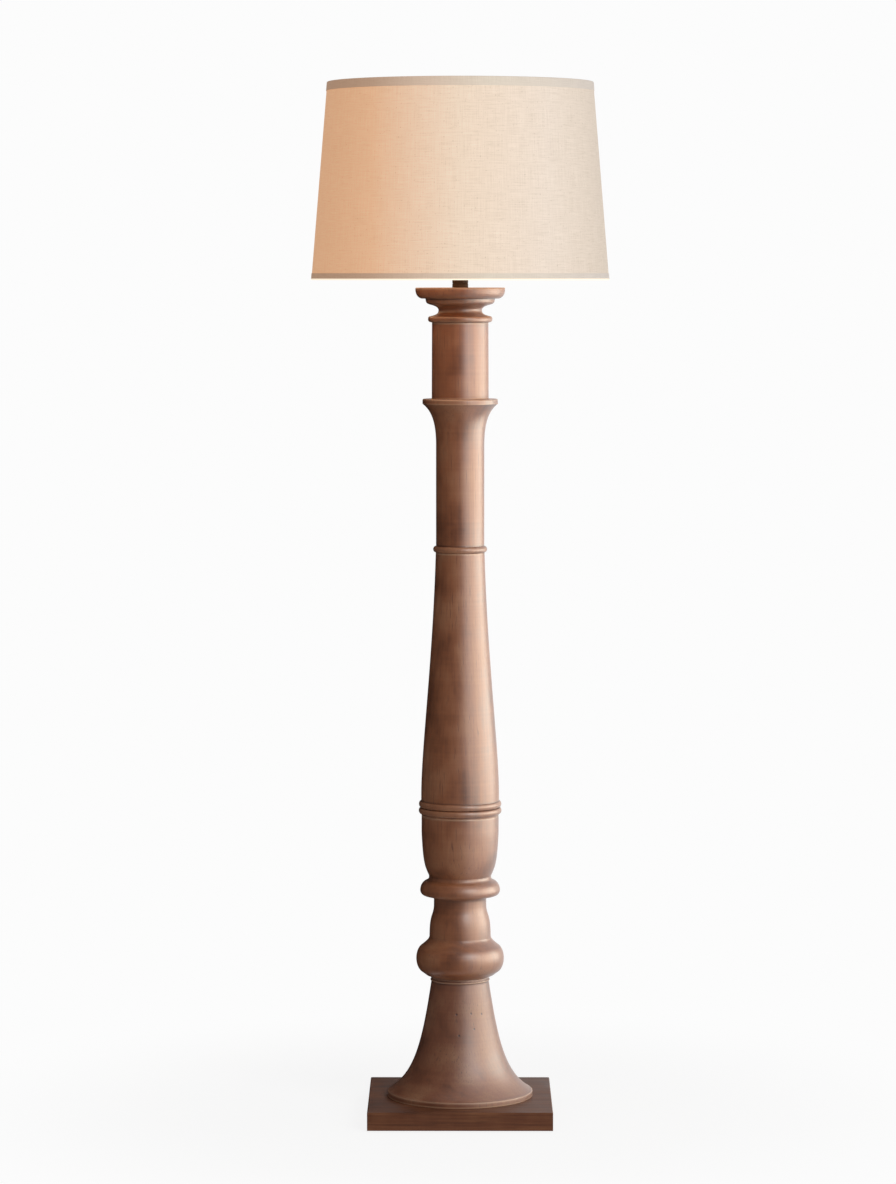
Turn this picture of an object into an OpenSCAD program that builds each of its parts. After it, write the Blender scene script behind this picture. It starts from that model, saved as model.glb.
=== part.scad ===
// Candlestick floor lamp: a turned wooden column on a square plinth, a lamp holder with a
// turn switch, a harp and a tapered drum shade in linen. Sizes are millimetres and +Z is up.
// The origin is on the floor under the middle of the column, and -Y is the front.
// Every turned section is drawn as an outline of [radius, height above its own foot].

/* [Plinth] */
// Side of the square plinth
plinth_side = 279.4; // [264:0.2:340]
// Height of the plinth
plinth_h = 27.5; // [25:0.5:45]
// Bevel along the plinth's edges
plinth_bevel = 1.2; // [0.4:0.1:4]
// Radius of the recess under the plinth
recess_r = 108; // [100:1:112]
// Wood left between the recess and the top of the plinth
plinth_roof = 7.5; // [6:0.5:9]
// Width of the rebate that holds the bottom board
rebate_w = 12; // [9:0.5:14]
// Thickness of the bottom board
board_t = 3; // [2:0.5:4]
// Thickness of the felt pads
felt_t = 1.5; // [1:0.5:4]
// Radius of a felt pad
felt_r = 14; // [8:1:15]
// Distance from a felt pad's centre to the plinth's edge
felt_inset = 25; // [17:1:28]

/* [Ballast] */
// Thickness of the cast-iron ballast disc
ballast_t = 15; // [12:0.5:15]
// Gap round the ballast disc
ballast_gap = 2; // [1:0.5:4]
// Radius of the pocket that holds the nut under the ballast
nut_pocket_r = 18; // [13:1:24]
// Depth of that pocket, and of the cord slot
nut_pocket_depth = 9; // [8.5:0.5:10]
// Width of the cord slot
cord_slot_w = 10; // [7:0.5:14]

/* [Cord inlet] */
// Radius of the hole through the bush
cord_hole_r = 3.3; // [2.5:0.1:4]
// Wall of the bush
bush_wall = 1.6; // [1:0.1:2.5]
// Length of the bush inside the plinth
bush_len = 14; // [8:1:20]
// Thickness of the bush's flange
bush_flange_t = 2; // [1:0.5:3]
// Width of the bush's flange beyond its barrel
bush_flange_w = 2.6; // [1:0.2:4]

/* [Bell foot] */
// Radius of the foot's disc
foot_r = 111; // [100:1:125]
// Height of the disc's upright edge
foot_edge_h = 7.5; // [5:0.5:12]
// Height of the whole bell
bell_h = 183.8; // [150:0.2:230]
// Radius of the bell's neck
bell_neck_r = 44; // [36:0.5:52]
// Radius of the thin ring below the neck's top
bell_ring_r = 45.2; // [44.2:0.1:53]

/* [Knop and vase] */
// Height of the knop and vase together
knop_h = 123.7; // [100:0.1:150]
// Widest radius of the knop
knop_r = 67; // [58:0.5:80]
// Height of the knop's widest line
knop_mid = 28.3; // [24:0.1:34]
// Half height of the knop's round
knop_half_h = 21.3; // [18:0.1:24]
// Radius of the vase at its foot
vase_foot_r = 46.8; // [42:0.2:56]
// Height of the vase's foot
vase_foot_z = 62; // [56:0.5:66]
// Radius of the vase's neck
vase_neck_r = 40; // [34:0.5:46]

/* [Flange and cup] */
// Height of the flange and cup together
cup_h = 124.6; // [100:0.2:160]
// Widest radius of the flange
flange_r = 60.9; // [54:0.1:72]
// Height of the flange's rounded edge
flange_h = 19.4; // [14:0.2:22]
// Radius of the waist above the flange
waist_r = 47.3; // [40:0.1:54]
// Height of the waist
waist_z = 31.6; // [28:0.2:38]
// Radius of the cup at its rim
cup_r = 58.8; // [50:0.2:68]

/* [Tapered shaft] */
// Height of the shaft with its double ring
shaft_h = 401.3; // [320:0.1:480]
// Radius of the shaft where the taper starts
shaft_foot_r = 59.3; // [50:0.1:70]
// Radius of the shaft at its head
shaft_head_r = 37.1; // [32:0.1:44]
// How far the double ring stands out from the shaft
ring_proud = 3.8; // [2:0.1:6]
// Height of one bead of the double ring
ring_bead_h = 9.8; // [7:0.1:13]

/* [Upper column] */
// Height of the upper column with its bead and collar
upper_h = 233.2; // [180:0.1:290]
// Radius of the upper column
upper_r = 36.6; // [32:0.1:44]
// How far the single bead stands out
bead_proud = 4.4; // [2:0.1:6]
// Height of the single bead
bead_h = 9.8; // [7:0.1:13]
// Height of the flare below the collar
flare_h = 62.6; // [40:0.2:80]
// Radius of the collar
collar_r = 57.1; // [50:0.1:66]
// Height of the collar's upright edge
collar_edge_h = 7.6; // [5:0.1:12]

/* [Drum and capital] */
// Height of the drum
drum_h = 115.3; // [80:0.1:150]
// Radius of the drum at its foot
drum_foot_r = 43.1; // [38:0.1:50]
// Radius of the drum at its head
drum_head_r = 42.7; // [38:0.1:50]
// Height of the capital
capital_h = 52.7; // [48:0.1:60]
// Radius of the lip at the capital's foot
lip_r = 48.7; // [45:0.1:54]
// Radius of the capital's throat
throat_r = 32.9; // [28:0.1:38]
// Radius of the capital's step
step_r = 52.2; // [46:0.1:57]
// Radius of the capital's top
capital_r = 67.8; // [60:0.1:78]

/* [Pipe and tenons] */
// Outer radius of the lamp pipe
pipe_r = 5; // [4.5:0.05:5]
// Wall of the lamp pipe
pipe_wall = 1.5; // [1:0.1:1.6]
// Gap between the pipe and the wood
pipe_gap = 0.5; // [0.3:0.1:1]
// Radius of the tenons between the turned sections
tenon_r = 16; // [12:0.5:20]
// Length of those tenons
tenon_h = 20; // [14:0.5:28]
// Radius of the spigot that centres the foot in the plinth
spigot_r = 25; // [18:0.5:40]
// Side-to-side gap round a tenon or a plug, on the radius
fit_gap = 0.1; // [0.05:0.05:0.2]

/* [Neck and harp] */
// Radius of the bronze neck
neck_r = 12; // [9:0.5:16]
// Height of the bronze neck
neck_h = 26; // [20:0.5:40]
// Harp height, from under its saddle to the seat of the shade
harp_h = 254; // [230:1:276]
// Widest half width of the harp
harp_half_w = 60; // [57:0.5:70]
// Radius of the harp wire
harp_wire_r = 2.3; // [1.8:0.1:2.5]
// Half of the distance between the harp's legs
harp_leg_x = 32; // [30:0.5:35]
// Length of the straight part of a leg
harp_leg_h = 28; // [26:0.5:34]
// Thickness of the saddle strap
saddle_t = 1.5; // [1:0.1:2.5]
// Width of the saddle strap
saddle_w = 14; // [12:0.5:20]
// Height of the saddle's posts
post_h = 10; // [8:0.5:12]
// Length of a locking sleeve
sleeve_len = 20; // [18:0.5:22]
// Wall of a locking sleeve
sleeve_wall = 1.2; // [0.8:0.1:2]
// Radius of the thread that holds the finial
stud_r = 3.1; // [2.8:0.1:3.4]
// Length of that thread above the seat
stud_thread_h = 12; // [9:0.5:14]
// Running gap of the pieces that turn or slide, on the radius
run_gap = 0.08; // [0.04:0.01:0.1]

/* [Lamp holder and bulb] */
// Outer radius of the holder's shell
shell_r = 19.8; // [19.4:0.1:22]
// Wall of the holder's shell
shell_wall = 0.6; // [0.4:0.1:0.8]
// Length of the holder's shell
shell_len = 43; // [40:0.5:48]
// Radius of the switch spindle
spindle_r = 2; // [1.5:0.1:2.4]
// Radius of the switch knob
knob_r = 6.5; // [5:0.5:8]
// Length of the switch knob
knob_len = 13; // [10:0.5:18]
// Overall length of the bulb
bulb_len = 110; // [95:1:125]
// Widest radius of the bulb
bulb_r = 30; // [24:0.5:32]
// Radius of the bulb's screw cap over its thread
cap_thread_r = 13.1; // [12.9:0.05:13.2]
// Pitch of the bulb's thread
thread_pitch = 3.63; // [3.4:0.01:3.8]

/* [Shade] */
// Outer radius of the linen at the top edge
shade_top_r = 200.3; // [170:0.1:240]
// Outer radius of the linen at the bottom edge
shade_bottom_r = 224.8; // [190:0.1:270]
// Height of the shade
shade_h = 296; // [250:1:300]
// Thickness of the linen
linen_t = 0.7; // [0.5:0.1:1.2]
// Thickness of the stiff backing
backing_t = 0.8; // [0.5:0.1:1.5]
// Radius of the wire in the shade's frame
frame_wire_r = 1.8; // [1.2:0.1:2.2]
// Depth of the fitter's hub below the top edge
fitter_drop = 28; // [20:0.5:36]
// Radius of the fitter's hub washer
hub_r = 13; // [12:0.5:16]
// Thickness of the fitter's hub washer
hub_t = 1.6; // [1.2:0.1:2.5]
// Height of the tape along the top edge
top_tape_h = 13; // [8:0.5:18]
// Height of the tape along the bottom edge
bottom_tape_h = 9.5; // [6:0.5:18]
// Thickness of the tapes
tape_t = 0.6; // [0.4:0.1:1]

/* [Finial] */
// Height of the finial
finial_h = 27; // [24:0.5:32]
// Radius of the finial's foot
finial_foot_r = 9; // [7.5:0.5:9.5]
// Radius of the finial's ball
finial_ball_r = 7; // [6:0.5:7.5]

/* [Hidden] */
$fn = 96;

// Gap between a piece that turns and the flat seat under it
seat_gap = 0.2;
// Line of glue between the layers of the shade
glue_t = 0.05;
// How far a cutter reaches past the face that it cuts
cut = 1;

// Levels, from the floor up
plinth_z = felt_t;
recess_z = plinth_z + plinth_h - plinth_roof;
bell_z = plinth_z + plinth_h;
knop_z = bell_z + bell_h;
cup_z = knop_z + knop_h;
shaft_z = cup_z + cup_h;
upper_z = shaft_z + shaft_h;
drum_z = upper_z + upper_h;
capital_z = drum_z + drum_h;
neck_z = capital_z + capital_h;
saddle_z = neck_z + neck_h;
holder_z = saddle_z + saddle_t;
seat_z = saddle_z + harp_h;
hub_z = seat_z + seat_gap;
shade_top_z = hub_z + fitter_drop;
shade_bottom_z = shade_top_z - shade_h;
finial_z = hub_z + hub_t + seat_gap;

// Base
ballast_r = recess_r - ballast_gap;
ballast_h = min(ballast_t, recess_z - plinth_z - board_t - 1.5);
ballast_z = recess_z - ballast_h;
board_r = recess_r + rebate_w;
screw_circle_r = recess_r + rebate_w / 2;
bush_r = cord_hole_r + bush_wall;
cord_z = ballast_z + nut_pocket_depth / 2 + 2;
pipe_bore_r = pipe_r + pipe_gap;
mortise_r = tenon_r + fit_gap;
mortise_h = tenon_h + 0.5;
washer_r = 11;
washer_t = 2;
nut_r = 9;
nut_h = 5;
washer_z = ballast_z + nut_pocket_depth - washer_t;
nut_z = washer_z - nut_h;
pipe_foot_z = nut_z - 0.5;
foot_screw_circle_r = 60;
foot_screw_r = 2;
foot_screw_len = 22;
board_screw_r = 1.5;
board_screw_len = 12;
// The foot's spigot stops just short of the ballast
spigot_h = plinth_roof - 0.3;

// Harp: the angles at which its legs lean out and its sides lean in, and its bends' radii
harp_out_a = 30;
harp_in_a = 12;
harp_bend_r = 25;
harp_bow_r = 60;
harp_shoulder_r = 25;
// Collar and rivet of the stud, and the harp's eye round it
stud_collar_h = 3;
eye_r = 6;
rivet_r = 2;
rivet_head_r = 3.5;
rivet_head_t = 1.2;
// Levels of the harp, and the straight runs that follow from its height and width
harp_top_z = seat_z - stud_collar_h - harp_wire_r;
harp_foot_z = holder_z + post_h;
leg_head_z = harp_foot_z + harp_leg_h;
harp_out_run = (harp_half_w - harp_leg_x - (harp_bend_r + harp_bow_r) * (1 - cos(harp_out_a)))
    / sin(harp_out_a);
harp_in_run = (harp_top_z - leg_head_z - harp_bend_r * sin(harp_out_a)
    - harp_out_run * cos(harp_out_a) - harp_bow_r * (sin(harp_out_a) + sin(harp_in_a))
    - harp_shoulder_r * (1 - sin(harp_in_a))) / cos(harp_in_a);
harp_top_run = harp_half_w - harp_bow_r * (1 - cos(harp_in_a)) - harp_in_run * sin(harp_in_a)
    - harp_shoulder_r * cos(harp_in_a);
// How far the bent tube reaches into the straight legs, and how much slimmer it is
harp_socket = 2;
harp_skin = 0.02;
// Largest turn between two rings of the tube, in degrees
bend_step = 9;

// Holder, as heights above the saddle
hub_thread_h = 6;
pipe_head_z = holder_z + hub_thread_h;
cap_rim_h = 20;
shell_z = holder_z + 15;
liner_t = 0.5;
liner_r = shell_r - shell_wall - fit_gap;
interior_r = liner_r - liner_t - fit_gap;
interior_z = holder_z + 17;
interior_h = 35;
spindle_z = holder_z + 24;
cam_r = 5.5;
cam_len = 7;
cam_y = 8;
chamber_r = cam_r + 0.7;
cavity_z = interior_z + 14;
contact_h = 1.6;
screw_shell_t = 0.5;
screw_shell_h = 21;
thread_depth = 0.9;
shell_inner_r = cap_thread_r + 0.25;
cavity_r = shell_inner_r + screw_shell_t + fit_gap;
knob_gap = 3;
bulb_z = cavity_z + contact_h + 0.3;
tip_h = 1.8;
insulator_h = 3;
cap_z = bulb_z + tip_h + insulator_h;
thread_turns = 4;
cap_h = thread_turns * thread_pitch + 6;
glass_t = 0.8;
glass_neck_r = 11.6;
glass_z = cap_z + cap_h - 3;

// Shade
shade_slope = (shade_bottom_r - shade_top_r) / shade_h;
frame_top_z = shade_top_z - frame_wire_r - 0.1;
frame_bottom_z = shade_bottom_z + frame_wire_r + 0.1;
skin_t = linen_t + glue_t + backing_t;
arm_r = 1.6;
arm_count = 3;

// Outer radius of the linen at a height
function linen_r(z) = shade_top_r + (shade_top_z - z) * shade_slope;
// Radius of the frame wire's centre line, just inside the backing, at a height
function frame_r(z) = linen_r(z) - skin_t - frame_wire_r - 0.1;

// Points of an ellipse's arc: centre, radii, first and last angle, number of steps
function arc(c, r, from, to, n = 8) =
    [for (i = [0:n]) let (t = from + (to - from) * i / n) [c.x + r.x * cos(t), c.y + r.y * sin(t)]];
// Points of a smooth curve that leaves a towards b and arrives at d from c
function curve(a, b, c, d, n = 10) =
    [for (i = [0:n]) let (t = i / n, u = 1 - t)
        u * u * u * a + 3 * u * u * t * b + 3 * u * t * t * c + t * t * t * d];
// A fine line cut into a turned face of radius r at height z
function cut_line(r, z) = [[r, z - 0.6], [r - 0.8, z], [r, z + 0.6]];
// A round bead: radius under it, how far it stands out, its middle and its height
function bead(r, proud, z, h) = arc([r, z], [proud, h / 2], -90, 90, 10);

// Outlines of the turned sections, from foot to head
function bell_outline() = concat(
    [[foot_r, 0], [foot_r, foot_edge_h], [foot_r - 1.5, foot_edge_h + 1.5]],
    curve([foot_r - 3, foot_edge_h + 2], [foot_r - 40.5, foot_edge_h + 26.5],
        [bell_neck_r + 14.5, 79], [bell_neck_r, bell_h - 7.5], 20),
    arc([bell_neck_r, bell_h - 4.6], [bell_ring_r - bell_neck_r, 1.6], -90, 90, 6),
    [[bell_neck_r, bell_h]]);

function knop_outline() = let (
        knop_out = 12.8,
        c = [knop_r - knop_out, knop_mid],
        knop_arc = arc(c, [knop_out, knop_half_h], -70, 60, 16),
        last = knop_arc[len(knop_arc) - 1])
    concat(
        [[bell_neck_r + 0.5, 0], [bell_neck_r + 7.7, 3.2]],
        knop_arc,
        [last + [-1, 0.2]],
        curve(last + [-1.2, 1.2], last + [-4.5, 4], [vase_foot_r + 0.4, vase_foot_z - 5],
            [vase_foot_r + 0.4, vase_foot_z - 1], 8),
        [[vase_foot_r, vase_foot_z - 0.8]],
        curve([vase_foot_r, vase_foot_z], [vase_foot_r, vase_foot_z + 36.5],
            [vase_neck_r, vase_foot_z + 31], [vase_neck_r, knop_h - 11.7], 14),
        arc([vase_neck_r + 4, knop_h - 5.7], [4, 5.5], 180, 90, 6),
        [[vase_neck_r + 4, knop_h]]);

function cup_outline() = let (
        edge = arc([flange_r - 4.5, flange_h / 2], [4.5, flange_h / 2], -80, 20, 10),
        last = edge[len(edge) - 1])
    concat(
        [[flange_r - 4.6, 0]],
        edge,
        curve(last, [flange_r, flange_h], [waist_r + 5.2, waist_z - 7.3],
            [waist_r + 3.2, waist_z - 6.8], 8),
        curve([waist_r + 2.6, waist_z - 6.4], [waist_r + 1, waist_z - 5],
            [waist_r, waist_z - 3.6], [waist_r, waist_z], 5),
        curve([waist_r + 0.2, waist_z + 0.4], [waist_r + 6.2, waist_z + 14.2],
            [cup_r - 2.2, waist_z + 17.4], [cup_r, cup_h - 26.6], 16),
        [[cup_r, cup_h - 1.2], [cup_r - 0.6, cup_h]]);

function shaft_outline() = let (taper_z = 2 * ring_bead_h + 3.3) concat(
    [[shaft_foot_r - 0.6, 0]],
    bead(shaft_foot_r, ring_proud, ring_bead_h / 2 + 2.4, ring_bead_h),
    bead(shaft_foot_r, ring_proud - 0.3, ring_bead_h * 3 / 2 + 2.6, ring_bead_h),
    curve([shaft_foot_r, taper_z], [shaft_foot_r + 1.2, taper_z + 73],
        [shaft_head_r + 4.9, shaft_h - 173.5], [shaft_head_r, shaft_h], 24));

function upper_outline() = let (flare_z = upper_h - collar_edge_h - flare_h) concat(
    [[upper_r, 0]],
    bead(upper_r, bead_proud, bead_h / 2 + 0.3, bead_h),
    curve([upper_r, flare_z], [upper_r, flare_z + 34], [upper_r + 6.6, flare_z + 51.5],
        [collar_r - 0.8, flare_z + flare_h - 0.5], 16),
    [
        [collar_r, flare_z + flare_h],
        [collar_r, upper_h - 1.2],
        [collar_r - 1.2, upper_h]
    ]);

function drum_outline() = [[drum_foot_r, 0], [drum_head_r, drum_h]];

function capital_outline() = let (
        lip = arc([lip_r - 2, 5.3], [2, 3.9], -80, 80, 8),
        last = lip[len(lip) - 1])
    concat(
        [[drum_head_r, 0], [lip_r - 1.9, 1.1]],
        lip,
        curve(last, [lip_r - 9, 11.2], [throat_r, 12], [throat_r, 18.4], 8),
        curve([throat_r, 18.8], [throat_r, 24.7], [step_r - 8, 26.6], [step_r - 5, 27.6], 8),
        curve([step_r - 4.8, 27.7], [step_r - 2, 28.6], [step_r, 30.6], [step_r, 33.6], 6),
        [[step_r + 0.5, 36.1], [step_r + 6, 36.2]],
        curve([step_r + 6.6, 36.3], [step_r + 10.6, 37.3], [capital_r - 1, 40.3],
            [capital_r, capital_h - 4.4], 10),
        [[capital_r, capital_h - 0.8], [capital_r - 0.8, capital_h]]);

// A turned wooden section with the pipe's bore, a mortise in its foot and a tenon on its head
module turned(outline, z, h, mortise = true, tenon = true) {
    foot = mortise
        ? [[pipe_bore_r, mortise_h], [mortise_r, mortise_h], [mortise_r, 0]]
        : [[pipe_bore_r, -spigot_h], [spigot_r, -spigot_h], [spigot_r, 0]];
    head = tenon
        ? [[tenon_r, h], [tenon_r, h + tenon_h], [pipe_bore_r, h + tenon_h]]
        : [[pipe_bore_r, h]];
    translate([0, 0, z])
        rotate_extrude()
            polygon(concat(foot, outline, head));
}

// A tube that stands on z = 0
module tube(outer, inner, h) {
    rotate_extrude()
        polygon([[inner, 0], [outer, 0], [outer, h], [inner, h]]);
}

// A round rod between two points
module rod(a, b, r) {
    d = b - a;
    translate(a)
        rotate([0, atan2(norm([d.x, d.y]), d.z), atan2(d.y, d.x)])
            cylinder(h = norm(d), r = r);
}

// Four copies round the axis, at 45 degrees to the plinth's sides
module at_four(circle_r) {
    for (a = [45:90:315])
        rotate([0, 0, a])
            translate([circle_r, 0, 0])
                children();
}

// A countersunk wood screw that points up, with the face of its head at z = 0
module wood_screw(r, len) {
    head_r = 2 * r;
    rotate_extrude()
        polygon([[0, 0], [head_r, 0], [head_r, 0.3], [r, r + 0.3], [r, len - 2 * r], [0, len]]);
}

// The square plinth with its recess, rebate, foot hole and cord hole
module plinth() {
    half = plinth_side / 2;
    inner = half - plinth_bevel;
    color("#5c3b2b")
        difference() {
            intersection() {
                translate([-half, -half, plinth_z])
                    cube([plinth_side, plinth_side, plinth_h]);
                bevelled_block(half, inner);
            }
            translate([0, 0, plinth_z - cut])
                cylinder(h = plinth_h - plinth_roof + cut, r = recess_r);
            translate([0, 0, plinth_z - cut])
                cylinder(h = board_t + cut, r = board_r);
            translate([0, 0, plinth_z])
                cylinder(h = plinth_h + cut, r = spigot_r + fit_gap);
            translate([0, recess_r - cut, cord_z])
                rotate([-90, 0, 0])
                    cylinder(h = half - recess_r + 2 * cut, r = cord_hole_r + 0.7);
            translate([0, half - bush_len, cord_z])
                rotate([-90, 0, 0])
                    cylinder(h = bush_len + cut, r = bush_r + fit_gap);
            translate([0, 0, recess_z])
                at_four(foot_screw_circle_r)
                    wood_screw(foot_screw_r + fit_gap, foot_screw_len);
            translate([0, 0, plinth_z + board_t])
                at_four(screw_circle_r)
                    cylinder(h = board_screw_len, r = board_screw_r + fit_gap);
        }
}

// Three crossed prisms whose common part is a block with every long edge bevelled
module bevelled_block(half, inner) {
    h = plinth_h;
    b = plinth_bevel;
    intersection() {
        translate([0, half, plinth_z])
            rotate([90, 0, 0])
                linear_extrude(plinth_side)
                    bevelled_side(half, inner, h, b);
        rotate([0, 0, 90])
            translate([0, half, plinth_z])
                rotate([90, 0, 0])
                    linear_extrude(plinth_side)
                        bevelled_side(half, inner, h, b);
    }
}

// Side view of the plinth, bevelled along its upper edge
module bevelled_side(half, inner, h, b) {
    polygon([[-half, 0], [half, 0], [half, h - b], [inner, h], [-inner, h], [-half, h - b]]);
}

// Cast-iron disc that steadies the lamp
module ballast_weight() {
    color("#3a3a3c")
        translate([0, 0, ballast_z])
            difference() {
                tube(ballast_r, pipe_bore_r, ballast_h);
                translate([0, 0, -cut])
                    cylinder(h = nut_pocket_depth + cut, r = nut_pocket_r);
                translate([-cord_slot_w / 2, 0, -cut])
                    cube([cord_slot_w, ballast_r + cut, nut_pocket_depth + cut]);
            }
}

// Four screws through the plinth's roof into the foot
module foot_screws() {
    color("#b9a46a")
        translate([0, 0, recess_z])
            at_four(foot_screw_circle_r)
                wood_screw(foot_screw_r, foot_screw_len);
}

// Hardboard disc that closes the recess
module bottom_board() {
    color("#6b5138")
        translate([0, 0, plinth_z])
            difference() {
                cylinder(h = board_t, r = board_r - 0.3);
                at_four(screw_circle_r)
                    wood_screw(board_screw_r + fit_gap, board_screw_len);
            }
}

// Four screws that hold the bottom board
module board_screws() {
    color("#b9a46a")
        translate([0, 0, plinth_z])
            at_four(screw_circle_r)
                wood_screw(board_screw_r, board_screw_len);
}

// Four felt pads near the plinth's corners
module felt_pads() {
    color("#4a4038")
        at_four((plinth_side / 2 - felt_inset) * sqrt(2))
            cylinder(h = felt_t, r = felt_r);
}

// Bush that lines the cord hole in the back of the plinth
module cord_bush() {
    color("#2a2522")
        translate([0, plinth_side / 2 - bush_len, cord_z])
            rotate([-90, 0, 0])
                rotate_extrude()
                    polygon([
                        [cord_hole_r, 0],
                        [bush_r, 0],
                        [bush_r, bush_len],
                        [bush_r + bush_flange_w, bush_len],
                        [bush_r + bush_flange_w, bush_len + bush_flange_t - 0.6],
                        [bush_r + bush_flange_w - 0.6, bush_len + bush_flange_t],
                        [cord_hole_r, bush_len + bush_flange_t]
                    ]);
}

// Bell-shaped foot with a spigot in the plinth's roof
module foot_bell() {
    color("#8a5f47")
        difference() {
            turned(bell_outline(), bell_z, bell_h, mortise = false);
            translate([0, 0, recess_z])
                at_four(foot_screw_circle_r)
                    wood_screw(foot_screw_r + fit_gap, foot_screw_len + 0.5);
        }
}

// Round knop with the small vase above it
module knop_vase() {
    color("#8a5a40")
        turned(knop_outline(), knop_z, knop_h);
}

// Flange with the cup that carries the long shaft
module flange_cup() {
    color("#92644c")
        turned(cup_outline(), cup_z, cup_h);
}

// Long tapering shaft with the double ring at its foot
module tapered_shaft() {
    color("#8f6048")
        turned(shaft_outline(), shaft_z, shaft_h);
}

// Slim upper column with a bead at its foot and a flared collar at its head
module upper_column() {
    color("#936650")
        turned(upper_outline(), upper_z, upper_h);
}

// Plain drum between the collar and the capital
module column_drum() {
    color("#9a6d55")
        turned(drum_outline(), drum_z, drum_h);
}

// Moulded capital, the last wooden section
module capital() {
    color("#8a5a42")
        turned(capital_outline(), capital_z, capital_h, tenon = false);
}

// Threaded pipe that clamps the whole column and carries the cord
module lamp_pipe() {
    color("#b0aca4")
        translate([0, 0, pipe_foot_z])
            tube(pipe_r, pipe_r - pipe_wall, pipe_head_z - pipe_foot_z);
}

// Washer between the ballast and the nut
module pipe_washer() {
    color("#a8a8a8")
        translate([0, 0, washer_z])
            tube(washer_r, pipe_r + fit_gap, washer_t);
}

// Hexagon nut that pulls the column together
module pipe_nut() {
    color("#a8a8a8")
        translate([0, 0, nut_z])
            difference() {
                cylinder(h = nut_h, r = nut_r, $fn = 6);
                translate([0, 0, -cut])
                    cylinder(h = nut_h + 2 * cut, r = pipe_r + fit_gap / 2);
            }
}

// Dark bronze sleeve between the capital and the harp
module bronze_neck() {
    groove = cut_line(neck_r, neck_h / 4);
    color("#4a3a2e")
        translate([0, 0, neck_z])
            rotate_extrude()
                polygon(concat(
                    [[pipe_r + 0.3, 0], [neck_r, 0]],
                    groove,
                    [[neck_r, neck_h - 0.8], [neck_r - 0.8, neck_h], [pipe_r + 0.3, neck_h]]));
}

// Strap under the lamp holder with two posts for the harp's legs
module harp_saddle() {
    color("#c9a85c")
        translate([0, 0, saddle_z])
            difference() {
                union() {
                    translate([-harp_leg_x, -saddle_w / 2, 0])
                        cube([2 * harp_leg_x, saddle_w, saddle_t]);
                    for (side = [-1, 1])
                        translate([side * harp_leg_x, 0, 0]) {
                            cylinder(h = saddle_t, r = saddle_w / 2);
                            cylinder(h = saddle_t + post_h, r = harp_wire_r);
                        }
                }
                translate([0, 0, -cut])
                    cylinder(h = saddle_t + 2 * cut, r = pipe_r + fit_gap);
            }
}

// One side of the harp's bent part, from its leg's head to the middle of its flat top. Each
// step is [length, 0] for a straight run or [radius, angle] for a bend, positive to the right.
harp_half = [
    [harp_bend_r, harp_out_a],
    [harp_out_run, 0],
    [harp_bow_r, -(harp_out_a + harp_in_a)],
    [harp_in_run, 0],
    [harp_shoulder_r, -(90 - harp_in_a)]
];
// The whole bent part, from inside the right leg over the top to inside the left leg
harp_steps = concat(
    [[harp_socket, 0]],
    harp_half,
    [[2 * harp_top_run, 0]],
    [for (i = [len(harp_half) - 1:-1:0]) harp_half[i]],
    [[harp_socket, 0]]);
// Where a wire goes: [x, z, heading] at the end of each short piece, heading 0 being up
function wire_path(steps, at, i = 0) = i == len(steps) ? [at] : let (
        size = steps[i][0],
        turn = steps[i][1],
        n = max(1, ceil(abs(turn) / bend_step)),
        side = sign(turn),
        piece = [for (k = [0:n - 1]) turn == 0 ? at : wire_bend(at, size * side, turn * k / n)],
        last = turn == 0
            ? [at[0] + size * sin(at[2]), at[1] + size * cos(at[2]), at[2]]
            : wire_bend(at, size * side, turn))
    concat(piece, wire_path(steps, last, i + 1));
// A point on a bend: where it starts, its signed radius, and the angle turned so far
function wire_bend(at, r, turned) = let (now = at[2] + turned) [
    at[0] + r * (cos(at[2]) - cos(now)),
    at[1] - r * (sin(at[2]) - sin(now)),
    now
];

// A round tube along such a path in the XZ plane
module wire_tube(path, r, sides = 12) {
    rings = len(path);
    points = [
        for (p = path)
            for (k = [0:sides - 1])
                let (t = k * 360 / sides, across = r * cos(t))
                    [p[0] + across * cos(p[2]), r * sin(t), p[1] - across * sin(p[2])]
    ];
    sides_faces = [
        for (i = [0:rings - 2])
            for (k = [0:sides - 1])
                let (a = i * sides + k, b = i * sides + (k + 1) % sides)
                    each [[a, a + sides, b + sides], [a, b + sides, b]]
    ];
    ends = [[for (k = [0:sides - 1]) k], [for (k = [sides - 1:-1:0]) (rings - 1) * sides + k]];
    polyhedron(points, concat(sides_faces, ends));
}

// Bent wire that carries the shade round the bulb, with a drilled eye at its top
module harp_wire() {
    path = wire_path(harp_steps, [harp_leg_x, leg_head_z - harp_socket, 0]);
    color("#c9a85c")
        difference() {
            union() {
                for (side = [-1, 1])
                    translate([side * harp_leg_x, 0, harp_foot_z])
                        cylinder(h = harp_leg_h, r = harp_wire_r);
                wire_tube(path, harp_wire_r - harp_skin);
                translate([0, 0, harp_top_z - harp_wire_r])
                    cylinder(h = 2 * harp_wire_r, r = eye_r);
            }
            translate([0, 0, harp_top_z - harp_wire_r - cut])
                cylinder(h = 2 * harp_wire_r + 2 * cut, r = rivet_r + fit_gap);
        }
}

// Stud riveted in the harp's eye: its collar seats the shade and its thread takes the finial
module harp_stud() {
    eye_z = harp_top_z - harp_wire_r;
    color("#c9a85c")
        rotate_extrude()
            polygon([
                [0, eye_z - rivet_head_t],
                [rivet_head_r, eye_z - rivet_head_t],
                [rivet_head_r, eye_z],
                [rivet_r, eye_z],
                [rivet_r, harp_top_z + harp_wire_r],
                [eye_r, harp_top_z + harp_wire_r],
                [eye_r, seat_z],
                [stud_r, seat_z],
                [stud_r, seat_z + stud_thread_h - 1],
                [stud_r - 1, seat_z + stud_thread_h],
                [0, seat_z + stud_thread_h]
            ]);
}

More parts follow.
